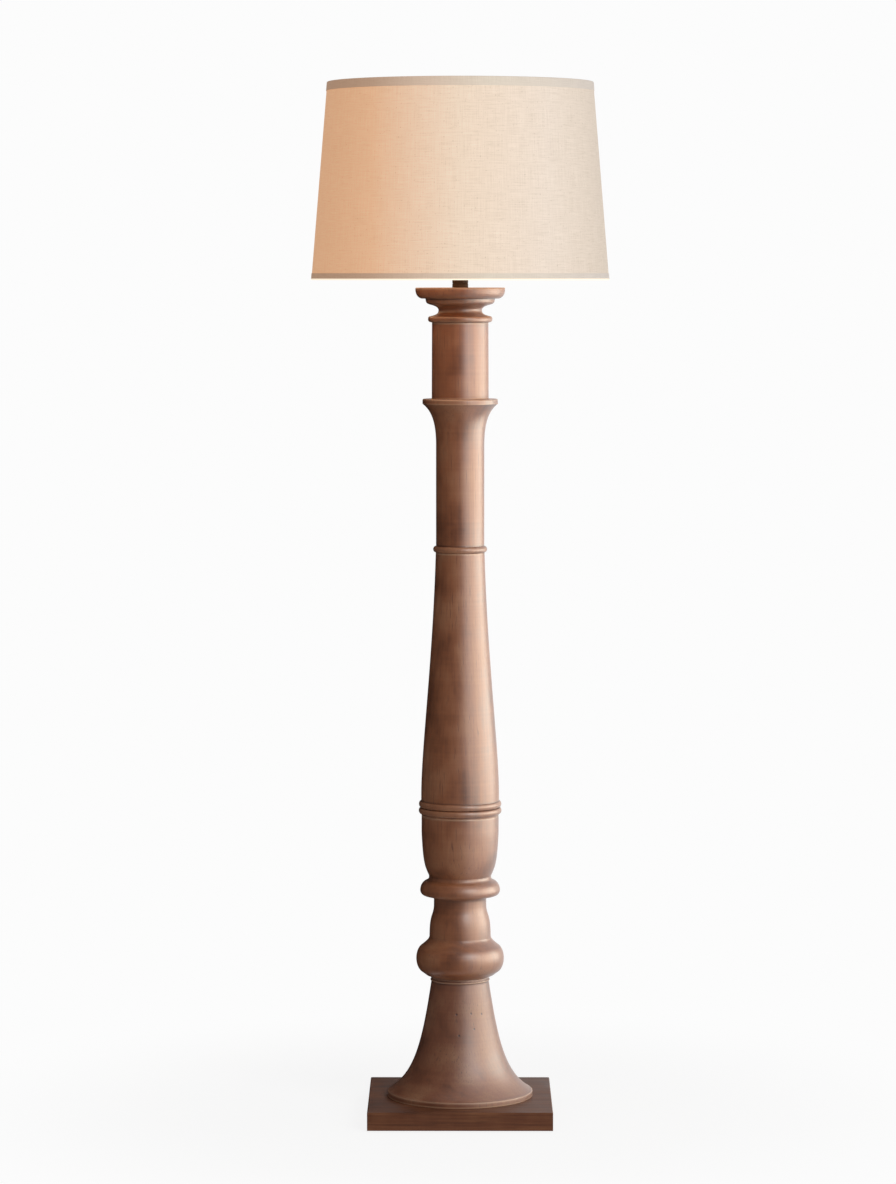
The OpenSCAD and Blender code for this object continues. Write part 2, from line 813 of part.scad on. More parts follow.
// Sleeve that locks one leg of the harp to its post, on the side given by its sign
module sleeve(side) {
    bore = harp_wire_r + run_gap;
    outer = bore + sleeve_wall;
    translate([side * harp_leg_x, 0, holder_z + seat_gap])
        rotate_extrude()
            polygon([
                [bore, 0],
                [outer + 0.6, 0],
                [outer + 0.6, 2],
                [outer, 2.6],
                [outer, sleeve_len - 0.8],
                [outer - 0.8, sleeve_len],
                [bore, sleeve_len]
            ]);
}

module left_sleeve() {
    color("#c9a85c")
        sleeve(-1);
}

module right_sleeve() {
    color("#c9a85c")
        sleeve(1);
}

// Cup that closes the lamp holder's foot and screws onto the pipe
module holder_cap() {
    rim_r = shell_r + fit_gap;
    wall = 0.8;
    color("#b99a55")
        difference() {
            translate([0, 0, holder_z])
                rotate_extrude()
                    polygon([
                        [pipe_r + fit_gap / 2, 0],
                        [8, 0],
                        [8, 5],
                        [13, 6.6],
                        [rim_r - 2, 9.6],
                        [rim_r + wall, 14],
                        [rim_r + wall, cap_rim_h],
                        [rim_r, cap_rim_h],
                        [rim_r, 14.2],
                        [rim_r - 2.6, 10.3],
                        [12.6, 7.4],
                        [pipe_r + fit_gap / 2, hub_thread_h]
                    ]);
            cap_screw_place()
                translate([0, 0, -cut])
                    cylinder(h = 10, r = 1.5 + fit_gap / 2);
        }
}

// Where the grub screw sits: along +X through the cap's hub
module cap_screw_place() {
    translate([pipe_r + fit_gap / 2, 0, holder_z + 2.6])
        rotate([0, 90, 0])
            children();
}

// Grub screw that stops the cap from turning on the pipe
module cap_screw() {
    color("#a8a8a8")
        cap_screw_place()
            cylinder(h = 4, r = 1.5);
}

// Brass shell round the lamp holder, pierced for the switch spindle
module holder_shell() {
    color("#c9a85c")
        difference() {
            translate([0, 0, shell_z])
                rotate_extrude()
                    polygon([
                        [shell_r - shell_wall, 0],
                        [shell_r, 0],
                        [shell_r, shell_len - 3],
                        [shell_r + 0.7, shell_len - 1.5],
                        [shell_r, shell_len],
                        [shell_r - shell_wall, shell_len]
                    ]);
            spindle_hole(spindle_r + run_gap);
        }
}

// A hole along -Y for the switch spindle, from inside the holder to past its shell
module spindle_hole(r) {
    translate([0, -interior_r / 2, spindle_z])
        rotate([90, 0, 0])
            cylinder(h = shell_r, r = r);
}

// Fibre sleeve between the shell and the live parts
module holder_liner() {
    color("#cfc3a4")
        difference() {
            translate([0, 0, shell_z + 1])
                tube(liner_r, liner_r - liner_t, shell_len - 2);
            spindle_hole(spindle_r + 0.6);
        }
}

// Moulded body that holds the switch and the threaded shell
module holder_interior() {
    color("#2b2724")
        difference() {
            translate([0, 0, interior_z])
                cylinder(h = interior_h, r = interior_r);
            translate([0, 0, cavity_z])
                cylinder(h = interior_h, r = cavity_r);
            translate([0, -cam_y + 1, spindle_z])
                rotate([90, 0, 0])
                    cylinder(h = interior_r, r = chamber_r);
            terminal_places()
                cylinder(h = 6, r = 1.5 + fit_gap / 2);
        }
}

// Where the two terminal screws enter the moulded body from below
module terminal_places() {
    for (side = [-1, 1])
        translate([side * 9, 6, interior_z - cut])
            children();
}

// Two terminal screws under the moulded body
module terminal_screws() {
    color("#c9a85c")
        terminal_places()
            union() {
                translate([0, 0, cut - 2])
                    cylinder(h = 2, r = 3);
                cylinder(h = 5, r = 1.5);
            }
}

// Half an outline of round thread rings: radius over the crests, first height, turns
function thread(r, z, turns) = [
    for (i = [0:8 * turns])
        [r - thread_depth / 2 * (1 - cos(i * 45 + 180)), z + i * thread_pitch / 8]
];

// Thin threaded shell that takes the bulb's cap
module screw_shell() {
    z = cavity_z + 3;
    inner = concat(
        [[shell_inner_r - thread_depth, z]],
        thread(shell_inner_r, cap_z + 1, thread_turns),
        [[shell_inner_r, z + screw_shell_h - 3]]);
    color("#c4c4c6")
        difference() {
            translate([0, 0, cavity_z + 0.2])
                cylinder(h = screw_shell_h, r = cavity_r - fit_gap);
            rotate_extrude()
                polygon(concat(
                    [[0, cavity_z - cut], [shell_inner_r - thread_depth, cavity_z - cut]],
                    inner,
                    [[shell_inner_r, z + screw_shell_h], [0, z + screw_shell_h]]));
        }
}

// Springy tab that meets the tip of the bulb
module centre_contact() {
    color("#c9a85c")
        translate([0, 0, cavity_z])
            cylinder(h = contact_h, r = 4.5);
}

// Spindle that carries the knob and the switch cam
module switch_spindle() {
    color("#c9a85c")
        translate([0, -cam_y, spindle_z])
            rotate([90, 0, 0])
                cylinder(h = shell_r + knob_gap + knob_len - 3 - cam_y, r = spindle_r);
}

// Cam that opens and closes the contact, with two flats
module switch_cam() {
    color("#e6e0d2")
        translate([0, -cam_y - 0.3, spindle_z])
            rotate([90, 0, 0])
                difference() {
                    cylinder(h = cam_len, r = cam_r);
                    translate([0, 0, -cut])
                        cylinder(h = cam_len + 2 * cut, r = spindle_r);
                    for (side = [0, 180])
                        rotate([0, 0, side])
                            translate([cam_r - 1.4, -cam_r, -cut])
                                cube([2 * cam_r, 2 * cam_r, cam_len + 2 * cut]);
                }
}

// Fluted turn knob
module switch_knob() {
    flute_count = 12;
    color("#2b2522")
        translate([0, -(shell_r + knob_gap), spindle_z])
            rotate([90, 0, 0])
                difference() {
                    rotate_extrude()
                        polygon(concat(
                            [
                                [spindle_r, 0],
                                [knob_r - 0.8, 0],
                                [knob_r, 0.8],
                                [knob_r, knob_len - 2]
                            ],
                            arc([knob_r - 3, knob_len - 2], [3, 2], 0, 90, 6),
                            [[0, knob_len], [0, knob_len - 3], [spindle_r, knob_len - 3]]));
                    for (i = [0:flute_count - 1])
                        rotate([0, 0, i * 360 / flute_count])
                            translate([knob_r + 0.5, 0, 2])
                                cylinder(h = knob_len, r = 1);
                }
}

// Threaded metal cap of the bulb
module bulb_cap() {
    outer = thread(cap_thread_r, cap_z + 1, thread_turns);
    wall = 0.5;
    inner_r = cap_thread_r - thread_depth - wall;
    color("#c8c8ca")
        rotate_extrude()
            polygon(concat(
                [[inner_r, cap_z], [cap_thread_r - thread_depth, cap_z]],
                outer,
                [[cap_thread_r, cap_z + cap_h], [inner_r, cap_z + cap_h]]));
}

// Black glass between the cap and the tip
module bulb_insulator() {
    color("#1c1a1a")
        translate([0, 0, cap_z - insulator_h])
            rotate_extrude()
                polygon([
                    [0, 0],
                    [5, 0],
                    [cap_thread_r - thread_depth - 0.6, insulator_h - 0.8],
                    [cap_thread_r - thread_depth - 0.6, insulator_h + 1],
                    [0, insulator_h + 1]
                ]);
}

// Solder tip of the bulb
module bulb_tip() {
    color("#b8b8ba")
        translate([0, 0, bulb_z])
            rotate_extrude()
                polygon([[0, 0], [3, 0], [4.6, tip_h], [0, tip_h]]);
}

// Outline of the glass from its neck to its crown, inset by t
function glass_outline(t) = let (
        crown_z = bulb_z + bulb_len,
        mid_z = crown_z - bulb_r)
    concat(
        [[glass_neck_r - t, glass_z]],
        curve([glass_neck_r - t, glass_z + 6], [glass_neck_r - t + 1, glass_z + 26],
            [bulb_r - t, mid_z - 22], [bulb_r - t, mid_z], 10),
        arc([0, mid_z], [bulb_r - t, bulb_r - t], 9, 90, 9));

// Glass bulb, open at its neck inside the cap
module bulb_glass() {
    inner = glass_outline(glass_t);
    color("#f6ecd8")
        rotate_extrude()
            polygon(concat(
                glass_outline(0),
                [for (i = [len(inner) - 1:-1:0]) inner[i]]));
}

// Glass stem that carries the filament
module bulb_stem() {
    color("#dfe6e6")
        rotate_extrude()
            polygon([
                [0, glass_z],
                [glass_neck_r - glass_t - 0.2, glass_z],
                [glass_neck_r - glass_t - 0.2, glass_z + 1],
                [4, glass_z + 5],
                [3, glass_z + 26],
                [0, glass_z + 28]
            ]);
}

// Filament: two support wires from the stem and the lit coil between them
module bulb_filament() {
    foot = [2.4, 0, glass_z + 20];
    head = [11, 0, glass_z + 48];
    color("#d8c48a")
        union() {
            for (side = [-1, 1])
                rod([side * foot.x, 0, foot.z], [side * head.x, 0, head.z], 0.5);
            rod([-head.x - 0.5, 0, head.z], [head.x + 0.5, 0, head.z], 0.9);
        }
}

// Top frame of the shade: a wire ring, three arms and the hub washer, welded together
module shade_fitter() {
    ring_r = frame_r(frame_top_z);
    hub_mid = hub_z + hub_t - 0.2;
    color("#d8d4cc")
        difference() {
            union() {
                translate([0, 0, hub_z])
                    cylinder(h = hub_t, r = hub_r);
                for (i = [0:arm_count - 1])
                    rotate([0, 0, 90 + i * 360 / arm_count])
                        rod([hub_r - 1.5, 0, hub_mid + arm_r - 1], [ring_r, 0, frame_top_z - 0.6], arm_r);
                translate([0, 0, frame_top_z])
                    rotate_extrude()
                        translate([ring_r, 0])
                            circle(r = frame_wire_r);
            }
            translate([0, 0, hub_z - cut])
                cylinder(h = hub_t + 2 * cut, r = stud_r + run_gap);
        }
}

// Wire ring that keeps the shade's bottom edge round
module bottom_ring() {
    color("#d8d4cc")
        translate([0, 0, frame_bottom_z])
            rotate_extrude()
                translate([frame_r(frame_bottom_z), 0])
                    circle(r = frame_wire_r);
}

// A conical skin between two heights, from an outer offset inwards by a thickness
module cone_skin(low, high, offset_in, t) {
    rotate_extrude()
        polygon([
            [linen_r(low) - offset_in - t, low],
            [linen_r(low) - offset_in, low],
            [linen_r(high) - offset_in, high],
            [linen_r(high) - offset_in - t, high]
        ]);
}

// Stiff translucent backing, cut from sheet and rolled
module shade_backing() {
    color("#f4efe4")
        cone_skin(shade_bottom_z, shade_top_z, linen_t + glue_t, backing_t);
}

// Linen glued round the backing
module linen_cover() {
    color("#e8d8c0")
        cone_skin(shade_bottom_z, shade_top_z, 0, linen_t);
}

// A tape folded over one edge of the shade: its end away from the edge, and the edge
module edge_tape(far_z, edge_z) {
    up = sign(edge_z - far_z);
    lip_z = edge_z + up * glue_t;
    rotate_extrude()
        polygon([
            [linen_r(far_z) + glue_t, far_z],
            [linen_r(far_z) + glue_t + tape_t, far_z],
            [linen_r(lip_z) + glue_t + tape_t, lip_z + up * tape_t],
            [frame_r(lip_z), lip_z + up * tape_t],
            [frame_r(lip_z), lip_z],
            [linen_r(lip_z) + glue_t, lip_z]
        ]);
}

// Tape along the top edge
module top_tape() {
    color("#c8b8a8")
        edge_tape(shade_top_z - top_tape_h, shade_top_z);
}

// Tape along the bottom edge
module bottom_tape() {
    color("#c8b8a8")
        edge_tape(shade_bottom_z + bottom_tape_h, shade_bottom_z);
}

// Turned brass finial with a blind threaded hole
module finial() {
    ball_z = finial_h - finial_ball_r;
    hole_h = stud_thread_h - hub_t + 0.6;
    color("#8a6d3c")
        translate([0, 0, finial_z])
            rotate_extrude()
                polygon(concat(
                    [
                        [stud_r + run_gap, 0],
                        [finial_foot_r, 0],
                        [finial_foot_r, 1.6],
                        [finial_foot_r - 2, 3],
                        [5.2, 5]
                    ],
                    arc([5.2, 7.5], [1.2, 1.6], -90, 90, 6),
                    [[4.4, 10.2]],
                    arc([0, ball_z], [finial_ball_r, finial_ball_r], -50, 90, 16),
                    [[0, hole_h], [stud_r + run_gap, hole_h]]));
}

plinth();
ballast_weight();
foot_screws();
bottom_board();
board_screws();
felt_pads();
cord_bush();
foot_bell();
knop_vase();
flange_cup();
tapered_shaft();
upper_column();
column_drum();
capital();
lamp_pipe();
pipe_washer();
pipe_nut();
bronze_neck();
harp_saddle();
harp_wire();
harp_stud();
left_sleeve();
right_sleeve();
holder_cap();
cap_screw();
holder_shell();
holder_liner();
holder_interior();
terminal_screws();
screw_shell();
centre_contact();
switch_spindle();
switch_cam();
switch_knob();
bulb_cap();
bulb_insulator();
bulb_tip();
bulb_glass();
bulb_stem();
bulb_filament();
shade_fitter();
bottom_ring();
shade_backing();
linen_cover();
top_tape();
bottom_tape();
finial();
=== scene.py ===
"""Looks of a candlestick floor lamp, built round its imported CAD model.

Sizes are millimetres, as in the part's source, and become metres where a mesh is made.
+Z is up, -Y is the front, and the origin is on the floor under the middle of the column.
Turned pieces are outlines of (radius, height) that one Geometry Nodes tree revolves.
"""

from __future__ import annotations

import logging
import math
from dataclasses import dataclass, replace
from enum import Enum
from functools import partial

import bmesh
import bpy
from bpy.types import ID, Material, Mesh, Node, NodeSocket, NodeTree, Object
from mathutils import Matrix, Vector

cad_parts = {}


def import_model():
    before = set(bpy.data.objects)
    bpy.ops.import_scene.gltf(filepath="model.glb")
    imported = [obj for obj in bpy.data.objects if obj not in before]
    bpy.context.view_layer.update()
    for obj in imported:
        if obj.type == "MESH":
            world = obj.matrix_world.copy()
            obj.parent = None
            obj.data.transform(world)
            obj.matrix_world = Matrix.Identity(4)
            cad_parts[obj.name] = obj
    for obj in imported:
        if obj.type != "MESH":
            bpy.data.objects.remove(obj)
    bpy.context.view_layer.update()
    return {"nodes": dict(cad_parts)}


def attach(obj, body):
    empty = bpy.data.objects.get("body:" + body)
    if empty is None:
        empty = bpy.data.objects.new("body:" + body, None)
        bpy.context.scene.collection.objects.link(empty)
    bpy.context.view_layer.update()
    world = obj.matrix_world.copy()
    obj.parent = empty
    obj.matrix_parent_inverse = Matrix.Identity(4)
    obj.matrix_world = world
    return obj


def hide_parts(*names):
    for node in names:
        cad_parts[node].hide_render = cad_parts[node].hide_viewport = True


Point = tuple[float, float]
Outline = list[Point]
Place = tuple[float, float, float]
Colour = tuple[float, float, float, float]

MM = 0.001
FULL_TURN = 2 * math.pi
# Points closer than this many metres are one point
WELD = 1e-6
# An edge that turns by more than this stays sharp
SHARP = math.radians(38)
# A corner of an outline that turns by more than this is rounded
CORNER = math.radians(25)
# A turn of the outline that counts as a full edge or a full hollow
FULL_EDGE = math.radians(70)
MATH = "ShaderNodeMath"
VECTOR_MATH = "ShaderNodeVectorMath"
MAP_RANGE = "ShaderNodeMapRange"
NOISE = "ShaderNodeTexNoise"
MIX = "ShaderNodeMix"
LOG = logging.getLogger("floor_lamp")


class Body(str, Enum):
    """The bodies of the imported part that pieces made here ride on."""

    STAND = "stand"
    BULB = "bulb"
    SHADE = "shade"
    FINIAL = "finial_nut"


# ---------------------------------------------------------------------------- small tools


def linear(code: str) -> Colour:
    """Turns an sRGB hex colour into linear light.

    Args:
        code: the colour as "#rrggbb".

    Returns:
        Red, green, blue and an alpha of 1.
    """
    parts = [int(code[i : i + 2], 16) / 255 for i in (1, 3, 5)]
    light = [c / 12.92 if c <= 0.04045 else ((c + 0.055) / 1.055) ** 2.4 for c in parts]
    return (light[0], light[1], light[2], 1.0)


def add_node(
    tree: NodeTree, kind: str, sockets: dict | tuple | None = None, **settings: object
) -> Node:
    """Adds one node with its settings and links.

    Args:
        tree: the tree that gets the node.
        kind: the node's type.
        sockets: input names or indices with a value, or with an output to link from;
            a tuple fills the inputs in order, and a node stands for its first output.
        settings: the node's own settings; stops is a colour ramp's list of (place, colour).

    Returns:
        The new node.
    """
    node = tree.nodes.new(kind)
    stops = settings.pop("stops", None)
    for name, value in settings.items():
        setattr(node, name, value)
    if stops:
        ramp = node.color_ramp
        while len(ramp.elements) < len(stops):
            ramp.elements.new(0.5)
        for element, (place, colour) in zip(ramp.elements, stops):
            element.position = place
            element.color = colour
    if isinstance(sockets, tuple):
        sockets = dict(enumerate(sockets))
    for key, value in (sockets or {}).items():
        socket = node.inputs[key]
        if isinstance(key, str) and not socket.enabled:
            socket = next(s for s in node.inputs if s.name == key and s.enabled)
        if isinstance(value, Node):
            value = value.outputs[0]
        if isinstance(value, NodeSocket):
            tree.links.new(value, socket)
        else:
            socket.default_value = value
    return node


def add_object(name: str, data: ID) -> Object:
    """Puts a mesh, a light or a camera in the scene.

    Args:
        name: its name.
        data: the mesh, light or camera.

    Returns:
        The linked object.
    """
    thing = bpy.data.objects.new(name, data)
    bpy.context.scene.collection.objects.link(thing)
    return thing


def new_material(name: str) -> Material:
    """Makes a material whose tree is still empty.

    Args:
        name: the material's name.

    Returns:
        The material.
    """
    material = bpy.data.materials.new(name)
    material.use_nodes = True
    material.node_tree.nodes.clear()
    return material


def plain_material(name: str, kind: str, sockets: dict) -> Material:
    """Makes a material of one plain shader, for the studio.

    Args:
        name: the material's name.
        kind: the shader node's type.
        sockets: its input values.

    Returns:
        The material.
    """
    material = new_material(name)
    shader = add_node(material.node_tree, kind, sockets)
    add_node(material.node_tree, "ShaderNodeOutputMaterial", {"Surface": shader})
    return material


def arc(centre: Point, radii: Point, start: float, end: float, steps: int = 16) -> Outline:
    """Points of an ellipse's arc, with its angles in degrees.

    Args:
        centre: the ellipse's middle.
        radii: its half width and half height.
        start: the first point's angle.
        end: the last point's angle.
        steps: how many pieces the arc has.

    Returns:
        The points, from start to end.
    """
    angles = [math.radians(start + (end - start) * i / steps) for i in range(steps + 1)]
    (x, y), (wide, tall) = centre, radii
    return [(x + wide * math.cos(a), y + tall * math.sin(a)) for a in angles]


def curve(a: Point, b: Point, c: Point, d: Point, steps: int = 30) -> Outline:
    """Points of a smooth curve that leaves a towards b and arrives at d from c.

    Args:
        a: where the curve starts.
        b: the point that it leaves towards.
        c: the point that it arrives from.
        d: where it ends.
        steps: how many pieces it has.

    Returns:
        The points, from a to d.
    """
    points = []
    for i in range(steps + 1):
        t = i / steps
        u = 1 - t
        weights = (u**3, 3 * u * u * t, 3 * u * t * t, t**3)
        points.append(tuple(sum(w * p[k] for w, p in zip(weights, (a, b, c, d))) for k in (0, 1)))
    return points


def bead(radius: float, proud: float, middle: float, height: float) -> Outline:
    """A round bead that stands out from a turned face."""
    return arc((radius, middle), (proud, height / 2), -90, 90, 18)


def soften(outline: Outline, size: float, closed: bool = True) -> Outline:
    """Rounds each sharp corner of an outline.

    Args:
        outline: the points, in order.
        size: how far from the corner the rounding starts, in millimetres.
        closed: whether the outline's last point joins its first.

    Returns:
        The outline with a short curve in place of each such corner.
    """
    points = [p for i, p in enumerate(outline) if i == 0 or math.dist(p, outline[i - 1]) > 1e-4]
    if closed and math.dist(points[0], points[-1]) < 1e-4:
        points.pop()
    count = len(points)
    longest, steps = 0.45, 4
    result: Outline = []
    for i, point in enumerate(points):
        if not closed and i in (0, count - 1):
            result.append(point)
            continue
        before, after = Vector(points[i - 1]), Vector(points[(i + 1) % count])
        here = Vector(point)
        come, go = here - before, after - here
        if come.angle(go) < CORNER:
            result.append(point)
            continue
        back = here - come.normalized() * min(size, come.length * longest)
        ahead = here + go.normalized() * min(size, go.length * longest)
        for k in range(steps + 1):
            t = k / steps
            result.append(tuple(back * (1 - t) ** 2 + here * (2 * t * (1 - t)) + ahead * t * t))
    return result


def fill_in(outline: Outline, step: float) -> Outline:
    """Closes an outline and adds points so that none are further apart than step.

    Args:
        outline: the points, in order.
        step: the longest gap, in millimetres.

    Returns:
        The closed outline, its last point its first.
    """
    result: Outline = [outline[0]]
    for start, end in zip(outline, outline[1:] + outline[:1]):
        pieces = max(1, math.ceil(math.dist(start, end) / step))
        for k in range(1, pieces + 1):
            result.append(
                (
                    start[0] + (end[0] - start[0]) * k / pieces,
                    start[1] + (end[1] - start[1]) * k / pieces,
                )
            )
    return result


def edge_tones(outline: Outline, reach: float = 2.6) -> list[float]:
    """How sharply a closed outline turns near each point: 1 on an edge, -1 in a corner.

    Args:
        outline: a closed outline that goes up on its outer side, its last point its first.
        reach: how far along the outline a turn still counts, in millimetres.

    Returns:
        One number for each point.
    """
    ring = outline[:-1]
    count = len(ring)
    turns = []
    for i in range(count):
        a, b, c = ring[i - 1], ring[i], ring[(i + 1) % count]
        come = math.atan2(b[1] - a[1], b[0] - a[0])
        go = math.atan2(c[1] - b[1], c[0] - b[0])
        turns.append((go - come + math.pi) % FULL_TURN - math.pi)
    tones = []
    for i in range(count):
        total = turns[i]
        for way in (-1, 1):
            gone, at = 0.0, i
            while True:
                ahead = (at + way) % count
                gone += math.dist(ring[at], ring[ahead])
                if gone > reach:
                    break
                total += turns[ahead] * (1 - gone / reach)
                at = ahead
        tones.append(max(-1.0, min(1.0, total / FULL_EDGE)))
    return [*tones, tones[0]]


def ribbon(path: Outline, thickness: float) -> Outline:
    """The closed section of a strip of one thickness that follows a path.

    Args:
        path: the strip's middle line.
        thickness: how thick the strip is.

    Returns:
        The section's points, in order.
    """
    left, right = [], []
    for i, point in enumerate(path):
        a, b = path[max(i - 1, 0)], path[min(i + 1, len(path) - 1)]
        along = Vector((b[0] - a[0], b[1] - a[1])).normalized()
        side = Vector((-along.y, along.x)) * (thickness / 2)
        left.append((point[0] + side.x, point[1] + side.y))
        right.append((point[0] - side.x, point[1] - side.y))
    return right + left[::-1]


# ------------------------------------------------------------------------- workshop trees


class Workshop:
    """Builds the Geometry Nodes trees once and makes plain meshes with them."""

    def __init__(self) -> None:
        """Builds the three trees."""
        self.lathe = self.lathe_tree()
        self.copier = self.copier_tree()
        self.wire_bender = self.wire_tree()

    def new_tree(self, name: str, inputs: dict[str, str]) -> tuple:
        """Starts a tree.

        Args:
            name: the tree's name.
            inputs: each input's name with its socket type.

        Returns:
            The tree and its group input node.
        """
        tree = bpy.data.node_groups.new(name, "GeometryNodeTree")
        for label, kind in {"Geometry": "NodeSocketGeometry", **inputs}.items():
            tree.interface.new_socket(name=label, in_out="INPUT", socket_type=kind)
        tree.interface.new_socket(
            name="Geometry", in_out="OUTPUT", socket_type="NodeSocketGeometry"
        )
        add_node(tree, "NodeGroupOutput")
        return tree, add_node(tree, "NodeGroupInput")

    def close_tree(self, tree: NodeTree, mesh: NodeSocket) -> None:
        """Ends a tree in Realize Instances and Set Material.

        Args:
            tree: the tree.
            mesh: what it has made so far.
        """
        given = next(n for n in tree.nodes if n.bl_idname == "NodeGroupInput")
        result = next(n for n in tree.nodes if n.bl_idname == "NodeGroupOutput")
        real = add_node(tree, "GeometryNodeRealizeInstances", {"Geometry": mesh})
        dressed = add_node(
            tree,
            "GeometryNodeSetMaterial",
            {"Geometry": real, "Material": given.outputs["Material"]},
        )
        tree.links.new(dressed.outputs[0], result.inputs[0])

    def spot(
        self, tree: NodeTree, angle: Node, reach: NodeSocket, level: NodeSocket | float
    ) -> Node:
        """A place round the axis, from its angle, its distance from the axis and its level.

        Args:
            tree: the tree.
            angle: a node that gives the angle from +X in radians.
            reach: the distance from the axis.
            level: the height, as an output or a number.

        Returns:
            The node that gives the place.
        """
        add = partial(add_node, tree)
        sides = []
        for operation in ("COSINE", "SINE"):
            part = add(MATH, (angle,), operation=operation)
            sides.append(add(MATH, (part, reach), operation="MULTIPLY"))
        return add("ShaderNodeCombineXYZ", (sides[0], sides[1], level))

    def lathe_tree(self) -> NodeTree:
        """A tree that revolves an outline: a flat grid is wrapped round the axis.

        Returns:
            The tree. Its geometry input holds the outline's points in order.
        """
        tree, given = self.new_tree(
            "turned_on_a_lathe",
            {
                "Segments": "NodeSocketInt",
                "Girth": "NodeSocketFloat",
                "Log": "NodeSocketFloat",
                "Material": "NodeSocketMaterial",
            },
        )
        add = partial(add_node, tree)
        outline = given.outputs["Geometry"]
        size = add("GeometryNodeAttributeDomainSize", (outline,), component="MESH")
        rows = size.outputs["Point Count"]
        columns = add(MATH, (given.outputs["Segments"], 1.0), operation="ADD")
        grid = add(
            "GeometryNodeMeshGrid",
            {"Size X": 1.0, "Size Y": 1.0, "Vertices X": columns, "Vertices Y": rows},
        )
        position = add("GeometryNodeInputPosition")
        flat = add("ShaderNodeSeparateXYZ", (position,))
        around = add(MATH, (flat, 0.5), operation="ADD")
        up = add(MATH, (flat.outputs[1], 0.5), operation="ADD")
        last = add(MATH, (rows, 1.0), operation="SUBTRACT")
        step = add(MATH, (up, last), operation="MULTIPLY")
        row = add(MATH, (step,), operation="ROUND")
        at = add(
            "GeometryNodeSampleIndex",
            {0: outline, "Value": position, "Index": row},
            data_type="FLOAT_VECTOR",
        )
        sampled = {}
        for name in ("edge", "length"):
            field = add("GeometryNodeInputNamedAttribute", {"Name": name}, data_type="FLOAT")
            taken = add(
                "GeometryNodeSampleIndex",
                {0: outline, "Value": field, "Index": row},
                data_type="FLOAT",
            )
            sampled[name] = taken.outputs[0]
        across = add(MATH, (around, given.outputs["Girth"]), operation="MULTIPLY")
        unrolled = add("ShaderNodeCombineXYZ", (across, sampled["length"]))
        mesh = grid.outputs["Mesh"]
        for name, value, kind, domain in (
            ("UVMap", unrolled.outputs[0], "FLOAT2", "CORNER"),
            ("edge", sampled["edge"], "FLOAT", "POINT"),
            ("log", given.outputs["Log"], "FLOAT", "POINT"),
        ):
            stored = add(
                "GeometryNodeStoreNamedAttribute",
                {"Geometry": mesh, "Name": name},
                data_type=kind,
                domain=domain,
            )
            tree.links.new(value, next(s for s in stored.inputs if s.name == "Value" and s.enabled))
            mesh = stored.outputs[0]
        # The seam is at the back, a quarter turn from +X
        angle = add(MATH, (around, FULL_TURN, FULL_TURN / 4), operation="MULTIPLY_ADD")
        radius = add("ShaderNodeSeparateXYZ", (at,))
        wrapped = self.spot(tree, angle, radius.outputs[0], radius.outputs[2])
        turned = add("GeometryNodeSetPosition", {"Geometry": mesh, "Position": wrapped})
        merged = add("GeometryNodeMergeByDistance", {"Geometry": turned, "Distance": WELD})
        self.close_tree(tree, merged.outputs[0])
        return tree

    def copier_tree(self) -> NodeTree:
        """A tree that sets copies of a piece on a circle round the axis.

        Returns:
            The tree. Its geometry input holds one copy, drawn at the axis.
        """
        tree, given = self.new_tree(
            "copies_round_the_axis",
            {
                "Count": "NodeSocketInt",
                "Reach": "NodeSocketFloat",
                "First Angle": "NodeSocketFloat",
                "Material": "NodeSocketMaterial",
            },
        )
        add = partial(add_node, tree)
        share = add(MATH, (FULL_TURN, given.outputs["Count"]), operation="DIVIDE")
        index = add("GeometryNodeInputIndex")
        angle = add(MATH, (index, share, given.outputs["First Angle"]), operation="MULTIPLY_ADD")
        spot = self.spot(tree, angle, given.outputs["Reach"], 0.0)
        spots = add("GeometryNodePoints", {"Count": given.outputs["Count"], "Position": spot})
        turn = add("ShaderNodeCombineXYZ", {2: angle})
        copies = add(
            "GeometryNodeInstanceOnPoints",
            {"Points": spots, "Instance": given.outputs["Geometry"], "Rotation": turn},
        )
        self.close_tree(tree, copies.outputs[0])
        return tree

    def wire_tree(self) -> NodeTree:
        """A tree that draws a round wire along a path of edges.

        Returns:
            The tree. Its geometry input holds the path's edges.
        """
        tree, given = self.new_tree(
            "wire_along_a_path",
            {
                "Radius": "NodeSocketFloat",
                "Sides": "NodeSocketInt",
                "Material": "NodeSocketMaterial",
            },
        )
        add = partial(add_node, tree)
        path = add("GeometryNodeMeshToCurve", (given.outputs["Geometry"],))
        section = add(
            "GeometryNodeCurvePrimitiveCircle",
            {"Resolution": given.outputs["Sides"], "Radius": given.outputs["Radius"]},
            mode="RADIUS",
        )
        tube = add(
            "GeometryNodeCurveToMesh", {"Curve": path, "Profile Curve": section, "Fill Caps": True}
        )
        self.close_tree(tree, tube.outputs[0])
        return tree

    def run(self, name: str, source: Mesh, tree: NodeTree, values: dict) -> Object:
        """Runs a tree on a mesh and keeps the result as a plain mesh.

        Args:
            name: the piece's name.
            source: the mesh that the tree starts from.
            tree: one of the workshop's trees.
            values: input names with their values.

        Returns:
            The piece, linked to the scene and without modifiers.
        """
        piece = add_object(name, source)
        modifier = piece.modifiers.new("make", "NODES")
        modifier.node_group = tree
        for item in tree.interface.items_tree:
            if item.in_out == "INPUT" and item.name in values:
                modifier[item.identifier] = values[item.name]
        graph = bpy.context.evaluated_depsgraph_get()
        made = bpy.data.meshes.new_from_object(
            piece.evaluated_get(graph), preserve_all_data_layers=True, depsgraph=graph
        )
        piece.modifiers.clear()
        piece.data = made
        made.name = name
        bpy.data.meshes.remove(source)
        self.finish_mesh(made)
        return piece

